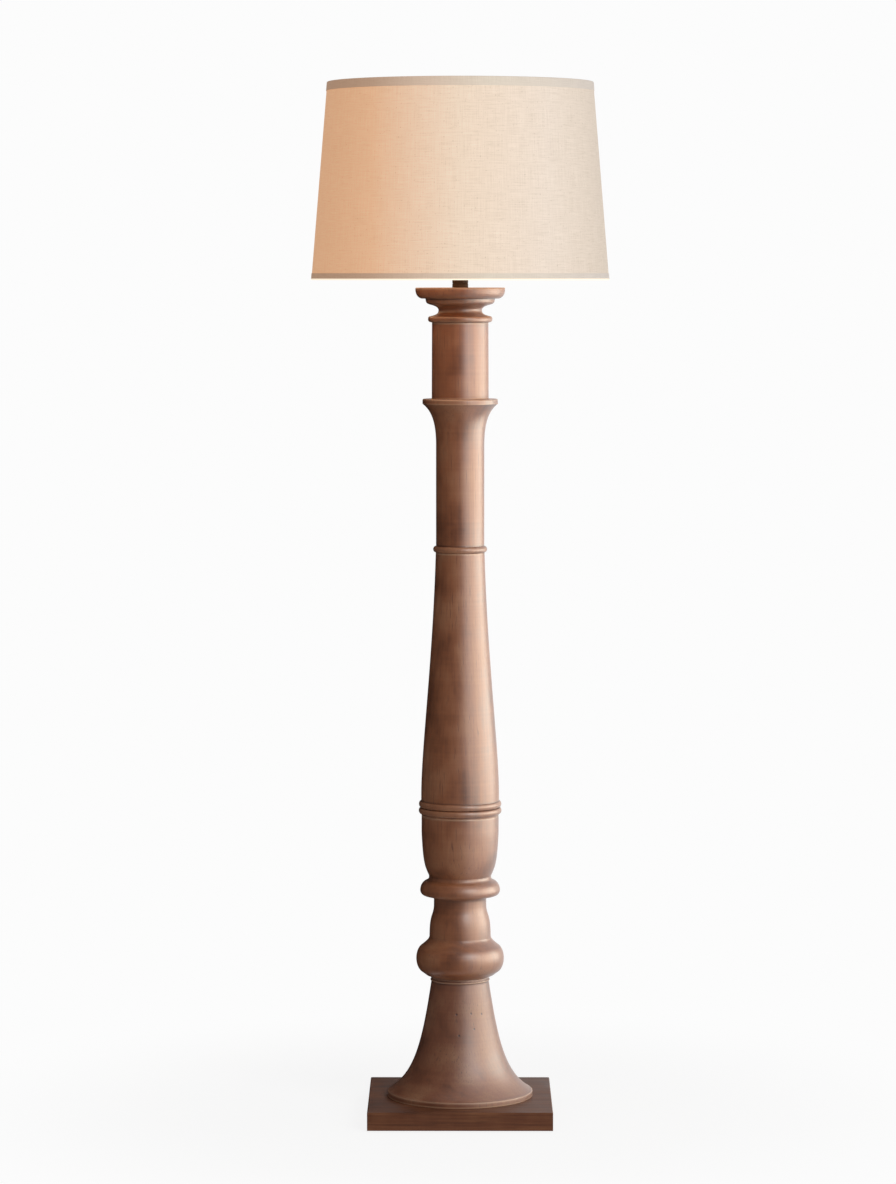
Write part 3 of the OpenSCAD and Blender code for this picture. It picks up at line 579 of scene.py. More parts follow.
    def finish_mesh(self, mesh: Mesh) -> None:
        """Closes a mesh, points its faces outwards and smooths all but its sharp edges.

        Args:
            mesh: the mesh, which is changed in place.
        """
        shape = bmesh.new()
        shape.from_mesh(mesh)
        bmesh.ops.remove_doubles(shape, verts=shape.verts, dist=WELD)
        bmesh.ops.recalc_face_normals(shape, faces=shape.faces)
        for face in shape.faces:
            face.smooth = True
        shape.to_mesh(mesh)
        shape.free()
        mesh.set_sharp_from_angle(angle=SHARP)

    def turn(
        self,
        name: str,
        outline: Outline,
        finish: Finish,
        segments: int = 128,
        log: float = 0.0,
        step: float = 4.0,
    ) -> Object:
        """Makes a turned piece from its closed outline.

        Args:
            name: the piece's name.
            outline: (radius, height) in millimetres, up on its outer side.
            finish: what the piece is made of.
            segments: sides round the axis.
            log: moves the wood grain, so that each piece looks cut from its own log.
            step: longest distance between two rings, in millimetres.

        Returns:
            The piece.
        """
        ring = fill_in(outline, step)
        source = bpy.data.meshes.new(name + "_outline")
        source.from_pydata([(r * MM, 0, z * MM) for r, z in ring], [], [])
        lengths = [0.0]
        for a, b in zip(ring, ring[1:]):
            lengths.append(lengths[-1] + math.dist(a, b) * MM)
        for label, values in (("edge", edge_tones(ring)), ("length", lengths)):
            layer = source.attributes.new(label, "FLOAT", "POINT")
            layer.data.foreach_set("value", values)
        girth = FULL_TURN * max(r for r, _ in ring) * MM
        return self.run(
            name,
            source,
            self.lathe,
            {"Segments": segments, "Girth": girth, "Log": log, "Material": finish.make()},
        )

    def copies(
        self, name: str, mesh: Mesh, finish: Finish, count: int, reach: float, first: float
    ) -> Object:
        """Sets copies of a mesh on a circle round the axis.

        Args:
            name: the piece's name.
            mesh: one copy, drawn at the axis.
            finish: what the copies are made of.
            count: how many there are.
            reach: the circle's radius in millimetres.
            first: the first copy's angle from +X, in degrees.

        Returns:
            One piece with all the copies.
        """
        return self.run(
            name,
            mesh,
            self.copier,
            {
                "Count": count,
                "Reach": reach * MM,
                "First Angle": math.radians(first),
                "Material": finish.make(),
            },
        )

    def wire(
        self, name: str, path: list[Place], radius: float, finish: Finish, sides: int = 20
    ) -> Object:
        """Draws a round wire along an open path.

        Args:
            name: the piece's name.
            path: the middle of the wire, in millimetres.
            radius: the wire's radius in millimetres.
            finish: what the wire is made of.
            sides: sides round the wire.

        Returns:
            The piece.
        """
        source = bpy.data.meshes.new(name + "_path")
        edges = [(i, i + 1) for i in range(len(path) - 1)]
        source.from_pydata([tuple(c * MM for c in p) for p in path], edges, [])
        return self.run(
            name,
            source,
            self.wire_bender,
            {"Radius": radius * MM, "Sides": sides, "Material": finish.make()},
        )


def join(name: str, parts: list[Object]) -> Object:
    """Joins pieces of one material into a single piece.

    Args:
        name: the new piece's name.
        parts: the pieces, which are removed.

    Returns:
        The joined piece.
    """
    shape = bmesh.new()
    for part in parts:
        shape.from_mesh(part.data)
    mesh = bpy.data.meshes.new(name)
    shape.to_mesh(mesh)
    shape.free()
    mesh.materials.append(parts[0].data.materials[0])
    mesh.set_sharp_from_angle(angle=SHARP)
    for part in parts:
        old = part.data
        bpy.data.objects.remove(part)
        bpy.data.meshes.remove(old)
    return add_object(name, mesh)


# ------------------------------------------------------------------------------- finishes


@dataclass(frozen=True)
class Finish:
    """What every finish has. A subclass adds the pattern that its real material shows."""

    name: str
    slot: str
    colour: str
    roughness: float = 0.5
    metallic: float = 0.0
    specular: float = 0.5
    coat: float = 0.0
    coat_roughness: float = 0.4

    def make(self) -> Material:
        """Returns the material, and makes it the first time it is asked for.

        Returns:
            The material, named for the finish.
        """
        material = bpy.data.materials.get(self.name)
        if material is None:
            material = new_material(self.name)
            material.diffuse_color = linear(self.colour)
            tree = material.node_tree
            shader = add_node(
                tree,
                "ShaderNodeBsdfPrincipled",
                {
                    "Base Color": linear(self.colour),
                    "Roughness": self.roughness,
                    "Metallic": self.metallic,
                    "Specular IOR Level": self.specular,
                    "Coat Weight": self.coat,
                    "Coat Roughness": self.coat_roughness,
                },
            )
            self.dress(tree, shader)
            add_node(tree, "ShaderNodeOutputMaterial", {"Surface": shader})
        return material

    def dress(self, tree: NodeTree, shader: Node) -> None:
        """Adds the pattern of the real material to the shader."""

    def millimetres(self, tree: NodeTree, stretch: Place = (1, 1, 1)) -> NodeSocket:
        """Object coordinates in millimetres, scaled by stretch along each axis.

        Args:
            tree: the material's tree.
            stretch: the scale along each axis.

        Returns:
            The output with the coordinates.
        """
        place = add_node(tree, "ShaderNodeTexCoord")
        scaled = add_node(
            tree,
            "ShaderNodeMapping",
            {"Vector": place.outputs["Object"], "Scale": tuple(s / MM for s in stretch)},
        )
        return scaled.outputs[0]

    def bump(self, tree: NodeTree, shader: Node, height: NodeSocket, depth: float) -> None:
        """Raises the surface by a height from 0 to 1 times a depth in millimetres.

        Args:
            tree: the material's tree.
            shader: its shader.
            height: the relief, from 0 to 1.
            depth: how deep it is, in millimetres.
        """
        raised = add_node(
            tree, "ShaderNodeBump", {"Height": height, "Distance": depth * MM, "Strength": 1.0}
        )
        tree.links.new(raised.outputs[0], shader.inputs["Normal"])


@dataclass(frozen=True)
class Wood(Finish):
    """Stained and waxed hardwood: year bands, fibres, pores, darker hollows, worn edges."""

    dark: str = "#5f2f17"
    light: str = "#ab734c"
    worn: str = "#cda482"
    along: Place = (1.0, 1.0, 0.03)
    pith: Place = (70.0, 95.0, 0.0)
    band_mm: float = 7.0
    # How much the year bands, the fibres, the uneven stain and the lathe's rings each show
    bands: float = 0.2
    fibres: float = 0.24
    blotches: float = 0.8
    tool_marks: float = 0.12
    relief_mm: float = 0.07
    # How far edges are rubbed pale and hollows are darkened, and the hollows' dark tone
    rubbing: float = 0.5
    hollow_darkening: float = 0.6
    hollow_tone: str = "#3a2319"
    pits: tuple[Place, ...] = ()
    pit_r: float = 2.0
    pit_floor_r: float = 1.1
    pit_depth: float = 4.0
    pit_tone: str = "#4a2416"

    def dress(self, tree: NodeTree, shader: Node) -> None:
        """Adds bands, fibres, pores, tool marks, pits and the tone of edges and hollows.

        Args:
            tree: the material's tree.
            shader: its shader.
        """
        add = partial(add_node, tree)
        log = add("ShaderNodeAttribute", attribute_name="log")
        shift = add(VECTOR_MATH, (log.outputs["Vector"], (37.0, 53.0, 410.0)), operation="MULTIPLY")
        place = add(VECTOR_MATH, (self.millimetres(tree), shift), operation="ADD")
        fibre_space = add(VECTOR_MATH, (place, self.along), operation="MULTIPLY")
        # Year bands lie round the log's pith and wander slowly along it
        slow = add(NOISE, {"Vector": fibre_space, "Scale": 0.02, "Detail": 2.0})
        wander = add(
            VECTOR_MATH,
            (slow.outputs["Color"], (24.0, 24.0, 24.0), fibre_space),
            operation="MULTIPLY_ADD",
        )
        away = add(VECTOR_MATH, (wander, self.pith), operation="DISTANCE")
        years = add(MATH, (away.outputs["Value"], self.band_mm), operation="DIVIDE")
        bands = add(NOISE, {"W": years, "Scale": 1.0, "Detail": 2.0}, noise_dimensions="1D")
        # Real fibres are under 1 mm wide: the widest here are 3 mm, so that they show
        fibres = add(NOISE, {"Vector": fibre_space, "Scale": 0.33, "Detail": 4.0, "Roughness": 0.5})
        cloudy = add(NOISE, {"Vector": place, "Scale": 0.02, "Detail": 3.0})
        upright = add("ShaderNodeSeparateXYZ", (place,))
        rings = add(
            NOISE, {"W": upright.outputs[2], "Scale": 0.22, "Detail": 3.0}, noise_dimensions="1D"
        )
        shares = (
            (bands, self.bands),
            (fibres, self.fibres),
            (cloudy, self.blotches),
            (rings, self.tool_marks),
        )
        middle = 0.5 - sum(share for _, share in shares) / 2
        total = add(MATH, (middle, 0.0), operation="ADD")
        for source, share in shares:
            total = add(MATH, (source, share, total), operation="MULTIPLY_ADD")
        toned = add(
            "ShaderNodeValToRGB",
            (total,),
            stops=[
                (0.2, linear(self.dark)), (0.5, linear(self.colour)), (0.82, linear(self.light))
            ],
        )
        # Pores are short dark strokes along the fibres, in loose groups
        strokes = add(NOISE, {"Vector": fibre_space, "Scale": 0.6, "Detail": 2.0})
        pores = add(MAP_RANGE, (strokes, 0.6, 0.7, 0.0, 0.8))
        grouped = add(MAP_RANGE, (cloudy, 0.48, 0.62, 0.15, 1.0))
        pores = add(MATH, (pores, grouped), operation="MULTIPLY")
        stroked = add(MIX, {0: pores, 6: toned, 7: linear(self.dark)}, data_type="RGBA")
        edge = add("ShaderNodeAttribute", attribute_name="edge")
        wear = add(MAP_RANGE, (edge.outputs["Fac"], 0.25, 0.9, 0.0, self.rubbing))
        rubbed = add(MIX, {0: wear, 6: stroked.outputs[2], 7: linear(self.worn)}, data_type="RGBA")
        # Darker where the outline turns inward, in its hollows
        hollow = add(MAP_RANGE, (edge.outputs["Fac"], -0.15, -0.9, 0.0, self.hollow_darkening))
        hollow_darkened = add(
            MIX, {0: hollow, 6: rubbed.outputs[2], 7: linear(self.hollow_tone)}, data_type="RGBA"
        )
        colour = hollow_darkened.outputs[2]
        relief = add(MATH, (pores, -0.8, fibres), operation="MULTIPLY_ADD")
        marked = add(MATH, (rings, 4 * self.tool_marks, relief), operation="MULTIPLY_ADD")
        height = marked.outputs[0]
        if self.pits:
            colour, height = self.add_pits(tree, colour, height)
        tree.links.new(colour, shader.inputs["Base Color"])
        sheen = add(MAP_RANGE, (cloudy, 0.3, 0.7, self.roughness - 0.06, self.roughness + 0.06))
        tree.links.new(sheen.outputs[0], shader.inputs["Roughness"])
        self.bump(tree, shader, height, self.relief_mm)

    def add_pits(
        self, tree: NodeTree, colour: NodeSocket, height: NodeSocket
    ) -> tuple[NodeSocket, NodeSocket]:
        """Sinks a few small round insect holes at the places in pits.

        Args:
            tree: the material's tree.
            colour: the colour so far.
            height: the relief so far.

        Returns:
            The colour and the relief with the holes.
        """
        add = partial(add_node, tree)
        plain = self.millimetres(tree)
        nearest = add(MATH, (1000.0, 0.0), operation="ADD")
        for pit in self.pits:
            gap = add(VECTOR_MATH, (plain, pit), operation="DISTANCE")
            nearest = add(MATH, (nearest, gap.outputs["Value"]), operation="MINIMUM")
        hole = add(MAP_RANGE, (nearest, self.pit_r, self.pit_floor_r, 0.0, 1.0))
        # Darker inside the holes: partly the bare wood in them, partly painted shade in their
        # depth, which the bump alone does not cast
        darker = add(MIX, {0: hole, 6: colour, 7: linear(self.pit_tone)}, data_type="RGBA")
        sunk = add(MATH, (hole, -self.pit_depth, height), operation="MULTIPLY_ADD")
        return darker.outputs[2], sunk.outputs[0]


@dataclass(frozen=True)
class Mottled(Finish):
    """A moulded, plated, cast or painted surface: a grain, slow tone changes and a polish."""

    grain_mm: float = 1.0
    depth_mm: float = 0.02
    second: str = ""
    streak: Place = (1.0, 1.0, 1.0)
    patch_mm: float = 20.0
    glow: str = ""
    glow_strength: float = 0.0

    def dress(self, tree: NodeTree, shader: Node) -> None:
        """Adds the two tones, the roughness of the polish, the grain and any glow: the bulb's own
        light, or a painted glow on a sheet that the bulb lights.

        Args:
            tree: the material's tree.
            shader: its shader.
        """
        add = partial(add_node, tree)
        place = self.millimetres(tree, self.streak)
        grain = add(NOISE, {"Vector": place, "Scale": 1 / self.grain_mm, "Detail": 3.0})
        patches = add(NOISE, {"Vector": place, "Scale": 1 / self.patch_mm, "Detail": 4.0})
        toned = add(
            "ShaderNodeValToRGB",
            (patches,),
            stops=[(0.3, linear(self.second or self.colour)), (0.65, linear(self.colour))],
        )
        tree.links.new(toned.outputs[0], shader.inputs["Base Color"])
        polish = add(
            MAP_RANGE, (grain, 0.3, 0.7, max(0.05, self.roughness - 0.08), self.roughness + 0.08)
        )
        tree.links.new(polish.outputs[0], shader.inputs["Roughness"])
        # Emission: real on the bulb's glass and filament, a painted glow on the styrene sheet
        if self.glow:
            shader.inputs["Emission Color"].default_value = linear(self.glow)
            shader.inputs["Emission Strength"].default_value = self.glow_strength
        self.bump(tree, shader, grain.outputs[0], self.depth_mm)


@dataclass(frozen=True)
class Cloth(Finish):
    """Woven cloth read from the piece's own UV map, which is in metres along the threads."""

    second: str = "#d9cbb6"
    thread_mm: float = 1.3
    slub: float = 0.7
    sheen: float = 0.15
    # Painted glow, emission that stands in for the light that comes through it, warm on -X and
    # paler towards +X: (how far across from -X to +X, colour) and strength
    glow: tuple[tuple[float, str], ...] = ()
    glow_strength: float = 1.0
    half_width: float = 215.0
    relief_mm: float = 0.25
    # Levels between which a painted pale line, for the light that creeps out, fades in, and its
    # colour
    painted_rim_glow: tuple[float, float] | None = None
    painted_rim_colour: str = "#f6e6cc"

    def dress(self, tree: NodeTree, shader: Node) -> None:
        """Adds weft and warp threads, slubs, flecks and the painted glow of the light that comes
        through.

        Args:
            tree: the material's tree.
            shader: its shader.
        """
        add = partial(add_node, tree)
        unrolled = add("ShaderNodeUVMap", uv_map="UVMap")
        place = add("ShaderNodeMapping", {"Vector": unrolled, "Scale": (1 / MM, 1 / MM, 1.0)})
        fine = 1 / self.thread_mm
        threads = {}
        for name, scale, detail in (
            ("weft", (fine * 0.035, fine, 1.0), 2.0),
            ("warp", (fine, fine * 0.03, 1.0), 2.0),
            ("slubs", (fine * 0.07, fine * 0.55, 1.0), 1.0),
            ("flecks", (fine * 0.45, fine * 0.45, 1.0), 0.0),
        ):
            spread = add(VECTOR_MATH, (place, scale), operation="MULTIPLY")
            threads[name] = add(
                NOISE, {"Vector": spread, "Scale": 1.0, "Detail": detail}, noise_dimensions="2D"
            ).outputs[0]
        weave = add(MATH, (threads["weft"], threads["warp"]), operation="ADD")
        thick = add(MAP_RANGE, (threads["slubs"], 0.58, 0.78, 0.0, 0.22 * self.slub))
        fleck = add(MAP_RANGE, (threads["flecks"], 0.78, 0.86, 0.0, 0.5 * self.slub))
        dense = add(MATH, (thick, fleck), operation="ADD")
        tone = add(MATH, (weave, 0.5, dense), operation="MULTIPLY_ADD")
        toned = add(
            "ShaderNodeValToRGB",
            (tone,),
            stops=[(0.3, linear(self.colour)), (1.0, linear(self.second))],
        )
        tree.links.new(toned.outputs[0], shader.inputs["Base Color"])
        shader.inputs["Sheen Weight"].default_value = self.sheen
        if self.glow:
            self.painted_glow(tree, shader, tone.outputs[0])
        self.bump(tree, shader, tone.outputs[0], self.relief_mm)

    def painted_glow(self, tree: NodeTree, shader: Node, tone: NodeSocket) -> None:
        """Paints the lit bulb's warm light as emission, a painted glow that is strongest on the -X
        side, away from the key light, and paler towards +X.

        Args:
            tree: the material's tree.
            shader: its shader.
            tone: how dense the threads are, from 0 to about 1.
        """
        add = partial(add_node, tree)
        object_place = add("ShaderNodeSeparateXYZ", (self.millimetres(tree),))
        across = add(MAP_RANGE, (object_place, -self.half_width, self.half_width))
        # Painted glow: an emission colour by object X, warm on -X and paler towards +X, where the
        # key light falls
        warm = add(
            "ShaderNodeValToRGB",
            (across,),
            stops=[(place, linear(code)) for place, code in self.glow],
        )
        thin = add(MAP_RANGE, (tone, 0.3, 1.1, 1.06, 0.8))
        through = add(VECTOR_MATH, {0: warm, "Scale": thin}, operation="SCALE")
        colour = through.outputs[0]
        # Painted highlight: a pale emission band that fades in towards the tape's lower edge
        if self.painted_rim_glow:
            low, high = self.painted_rim_glow
            rim = add(MAP_RANGE, (object_place.outputs[2], high, low))
            lit = add(MIX, {0: rim, 6: colour, 7: linear(self.painted_rim_colour)}, data_type="RGBA")
            colour = lit.outputs[2]
        tree.links.new(colour, shader.inputs["Emission Color"])
        shader.inputs["Emission Strength"].default_value = self.glow_strength


class Finishes:
    """The lamp's finishes, named for the real materials."""

    # Places of the bell's insect holes, in millimetres
    BELL_PITS = (
        (-5.4, -50.7, 161.9),
        (16.7, -48.0, 163.0),
        (32.7, -39.4, 160.9),
        (21.5, -50.9, 139.8),
        (-1.7, -57.2, 130.6),
    )

    # Turned hardwood, stained pinkish brown and waxed: satin, with slim upright grain
    TURNED_WOOD = Wood(
        "turned_hardwood",
        "column_wood",
        "#965730",
        0.45,
        specular=1.0,
        coat=0.9,
        coat_roughness=0.4,
    )
    # The same wood with the bell's insect holes
    BELL_WOOD = replace(
        TURNED_WOOD,
        name="turned_hardwood_old",
        colour="#844a2a",
        roughness=0.5,
        coat=0.8,
        coat_roughness=0.44,
        dark="#552d18",
        light="#9c6a45",
        pits=BELL_PITS,
    )
    # A plank of the same wood stained darker, its grain along X: slim level lines in front
    PLINTH_WOOD = Wood(
        "plinth_hardwood",
        "plinth_wood",
        "#683c25",
        0.5,
        specular=0.25,
        dark="#462717",
        light="#825437",
        worn="#86604b",
        bands=0.4,
        fibres=0.7,
        blotches=0.6,
        along=(0.03, 1.0, 1.0),
        pith=(0.0, 60.0, -90.0),
        tool_marks=0.0,
    )
    # Pressed fibreboard: smooth brown with small dark flecks
    HARDBOARD = Mottled(
        "pressed_hardboard", "hardboard", "#6b5138", 0.6, grain_mm=0.8, second="#523c29"
    )
    # Sand-cast iron under black paint: coarse grain, dull
    CAST_IRON = Mottled("painted_cast_iron", "cast_iron", "#3a3a3c", 0.6, depth_mm=0.12)
    # Zinc plate on steel: pale, slightly cloudy
    ZINC = Mottled(
        "zinc_plated_steel", "zinc_steel", "#b4b4b6", 0.38, 1.0, grain_mm=0.5, second="#9c9ca0"
    )
    # Rolled and turned brass, lacquered: warm, with fine lines round it
    BRASS = Mottled(
        "lacquered_brass",
        "brass",
        "#cdaa62",
        0.3,
        1.0,
        grain_mm=0.6,
        second="#b8924c",
        streak=(0.1, 0.1, 1.0),
        depth_mm=0.01,
    )
    # Bronze under a dull, nearly black brown oxide, which hides the metal's own shine
    BRONZE = Mottled(
        "oxidised_bronze",
        "dark_bronze",
        "#4d3a2a",
        0.6,
        specular=0.3,
        grain_mm=0.7,
        second="#3a2b1f",
        streak=(0.15, 0.15, 1.0),
    )
    # Wool felt: dull, hairy, uneven brown
    FELT = Mottled(
        "wool_felt", "felt", "#4f453c", 0.95, grain_mm=0.6, depth_mm=0.3, second="#3f362f"
    )
    # Phenolic moulding: black-brown with a soft gloss
    PHENOLIC = Mottled(
        "phenolic_moulding", "black_moulding", "#26211e", 0.32, grain_mm=0.8, second="#1d1917"
    )
    # Vulcanised fibre: dull buff card
    FIBRE = Mottled("vulcanised_fibre", "fibre", "#cfc3a4", 0.7, second="#c0b28f")
    # Nickel on thin pressed sheet: bright with faint lines round it
    NICKEL = Mottled(
        "nickel_plate", "nickel", "#c8c8ca", 0.25, 1.0, streak=(0.1, 0.1, 1.0), depth_mm=0.01
    )
    # Glass frosted on the inside, lit: an even warm white
    LIT_GLASS = Mottled(
        "frosted_glass",
        "bulb_glass",
        "#f8f0e2",
        0.3,
        glow="#ffdcae",
        glow_strength=3.0,
        depth_mm=0.005,
    )
    # Drawn tungsten, glowing
    TUNGSTEN = Mottled(
        "tungsten_wire", "tungsten", "#d8c48a", 0.4, 0.6, glow="#ffcf8a", glow_strength=6.0
    )
    # Polyester powder on steel wire: off-white, slightly pebbled
    COATED_WIRE = Mottled(
        "coated_wire", "frame_wire", "#dcd8d0", 0.4, grain_mm=0.4, second="#d0cbc1"
    )
    # Rolled styrene sheet: milky, with a painted warm glow (emission) for the bulb's light on its
    # inside
    STYRENE = Mottled(
        "milky_styrene",
        "styrene",
        "#efe6d8",
        0.45,
        second="#e9dfcf",
        glow="#f0b988",
        glow_strength=0.55,
        depth_mm=0.01,
    )
    # Oatmeal linen on that sheet: threads near 0.8 mm, drawn 1.3 mm wide so that they show
    LINEN = Cloth(
        "oatmeal_linen",
        "linen",
        "#c6baab",
        0.85,
        specular=0.2,
        second="#b0a18c",
        # Painted glow: emission, warm on the -X side and paler towards +X, for the bulb's light
        # through the cloth, paler where the key light falls
        glow=((0.2, "#be8759"), (0.5, "#b6a08c"), (0.8, "#aa9e96"), (1.0, "#968a81")),
    )
    # Cotton tape in taupe: closer woven than the linen, so less light comes through; that light is
    # a painted glow, warm on -X and paler towards +X
    TAPE = Cloth(
        "taupe_cotton_tape",
        "tape",
        "#bfb4a9",
        0.85,
        specular=0.2,
        second="#ab9f91",
        thread_mm=0.9,
        slub=0.3,
        glow=((0.2, "#875e3c"), (0.4, "#9a806a"), (0.6, "#a19889"), (1.0, "#8f8986")),
    )
    # The same tape at the bottom, with a painted pale line of light along its lower edge, where
    # light creeps out round its fold
    BOTTOM_TAPE = replace(TAPE, name="taupe_cotton_tape_low", painted_rim_glow=(1276.4, 1277.9))


# --------------------------------------------------------------------------- sub-assemblies


@dataclass
class Plinth:
    """The weighted square plinth's new felt pads and board screws; its kept CAD nodes are dressed
    with the others.
    """

    side: float = 279.4
    foot: float = 1.5
    pad_r: float = 14.0
    pad_inset: float = 25.0
    screw_circle: float = 114.0
    screw_r: float = 1.5
    screw_len: float = 12.0

    def build(self, shop: Workshop) -> None:
        """Makes the felt pads and the board's screws."""
        self.make_pads(shop)
        self.make_screws(shop)

    def make_pads(self, shop: Workshop) -> None:
        """Cuts four felt pads with soft edges.

        Args:
            shop: the workshop.
        """
        outline = soften(
            [(0.0, 0.0), (self.pad_r, 0.0), (self.pad_r, self.foot), (0.0, self.foot)], 0.6
        )
        pad = shop.turn("one_pad", outline, Finishes.FELT, segments=48)
        mesh = pad.data
        bpy.data.objects.remove(pad)
        reach = (self.side / 2 - self.pad_inset) * math.sqrt(2)
        pads = shop.copies("felt_pad_discs", mesh, Finishes.FELT, 4, reach, 45)
        place_piece(pads, Body.STAND, "felt_pads")

    def make_screws(self, shop: Workshop) -> None:
        """Drives four countersunk screws with cross slots through the bottom board.

        Args:
            shop: the workshop.
        """
        mesh = self.cross_screw()
        screws = shop.copies("board_cross_screws", mesh, Finishes.ZINC, 4, self.screw_circle, 45)
        place_piece(screws, Body.STAND, "board_screws")

    def cross_screw(self) -> Mesh:
        """One screw that points up, with a cross slot sunk in the face of its head.

        Returns:
            The screw's mesh, in metres, drawn at the axis.
        """
        sides = 32
        head, rim_h, point_r = 2 * self.screw_r, 0.3, 0.1
        arm, half, deep, narrow = 1.9, 0.35, 1.1, 0.7
        slot = []
        for turn in range(4):
            a = turn * math.pi / 2
            for x, y in ((arm, -half), (arm, half), (half, half)):
                slot.append((x * math.cos(a) - y * math.sin(a), x * math.sin(a) + y * math.cos(a)))
        shape = bmesh.new()

        def ring(points: list[Point], level: float) -> list[bmesh.types.BMVert]:
            """Adds a closed ring of points at one level."""
            return [shape.verts.new((x * MM, y * MM, (self.foot + level) * MM)) for x, y in points]

        def wall(low: list, high: list) -> None:
            """Joins two rings of the same number of points.

            Args:
                low: the first ring's points.
                high: the second ring's points.
            """
            for i in range(len(low)):
                j = (i + 1) % len(low)
                shape.faces.new((low[i], low[j], high[j], high[i]))

        def circle(radius: float) -> list[Point]:
            """Points of a circle."""
            steps = [FULL_TURN * i / sides for i in range(sides)]
            return [(radius * math.cos(a), radius * math.sin(a)) for a in steps]

        rim = ring(circle(head), 0.0)
        edge = ring(circle(head), rim_h)
        neck = ring(circle(self.screw_r), self.screw_r + rim_h)
        end = ring(circle(self.screw_r), self.screw_len - 2 * self.screw_r)
        tip = ring(circle(point_r), self.screw_len)
        for low, high in ((rim, edge), (edge, neck), (neck, end), (end, tip)):
            wall(low, high)
        shape.faces.new(tip)
        mouth = ring(slot, 0.0)
        floor = ring([(x * narrow, y * narrow) for x, y in slot], deep)
        wall(mouth, floor)
        shape.faces.new(floor)
        edges = [e for e in shape.edges if e.is_boundary]
        bmesh.ops.triangle_fill(shape, edges=edges, use_beauty=True)
        mesh = bpy.data.meshes.new("cross_screw")
        shape.to_mesh(mesh)
        shape.free()
        return mesh


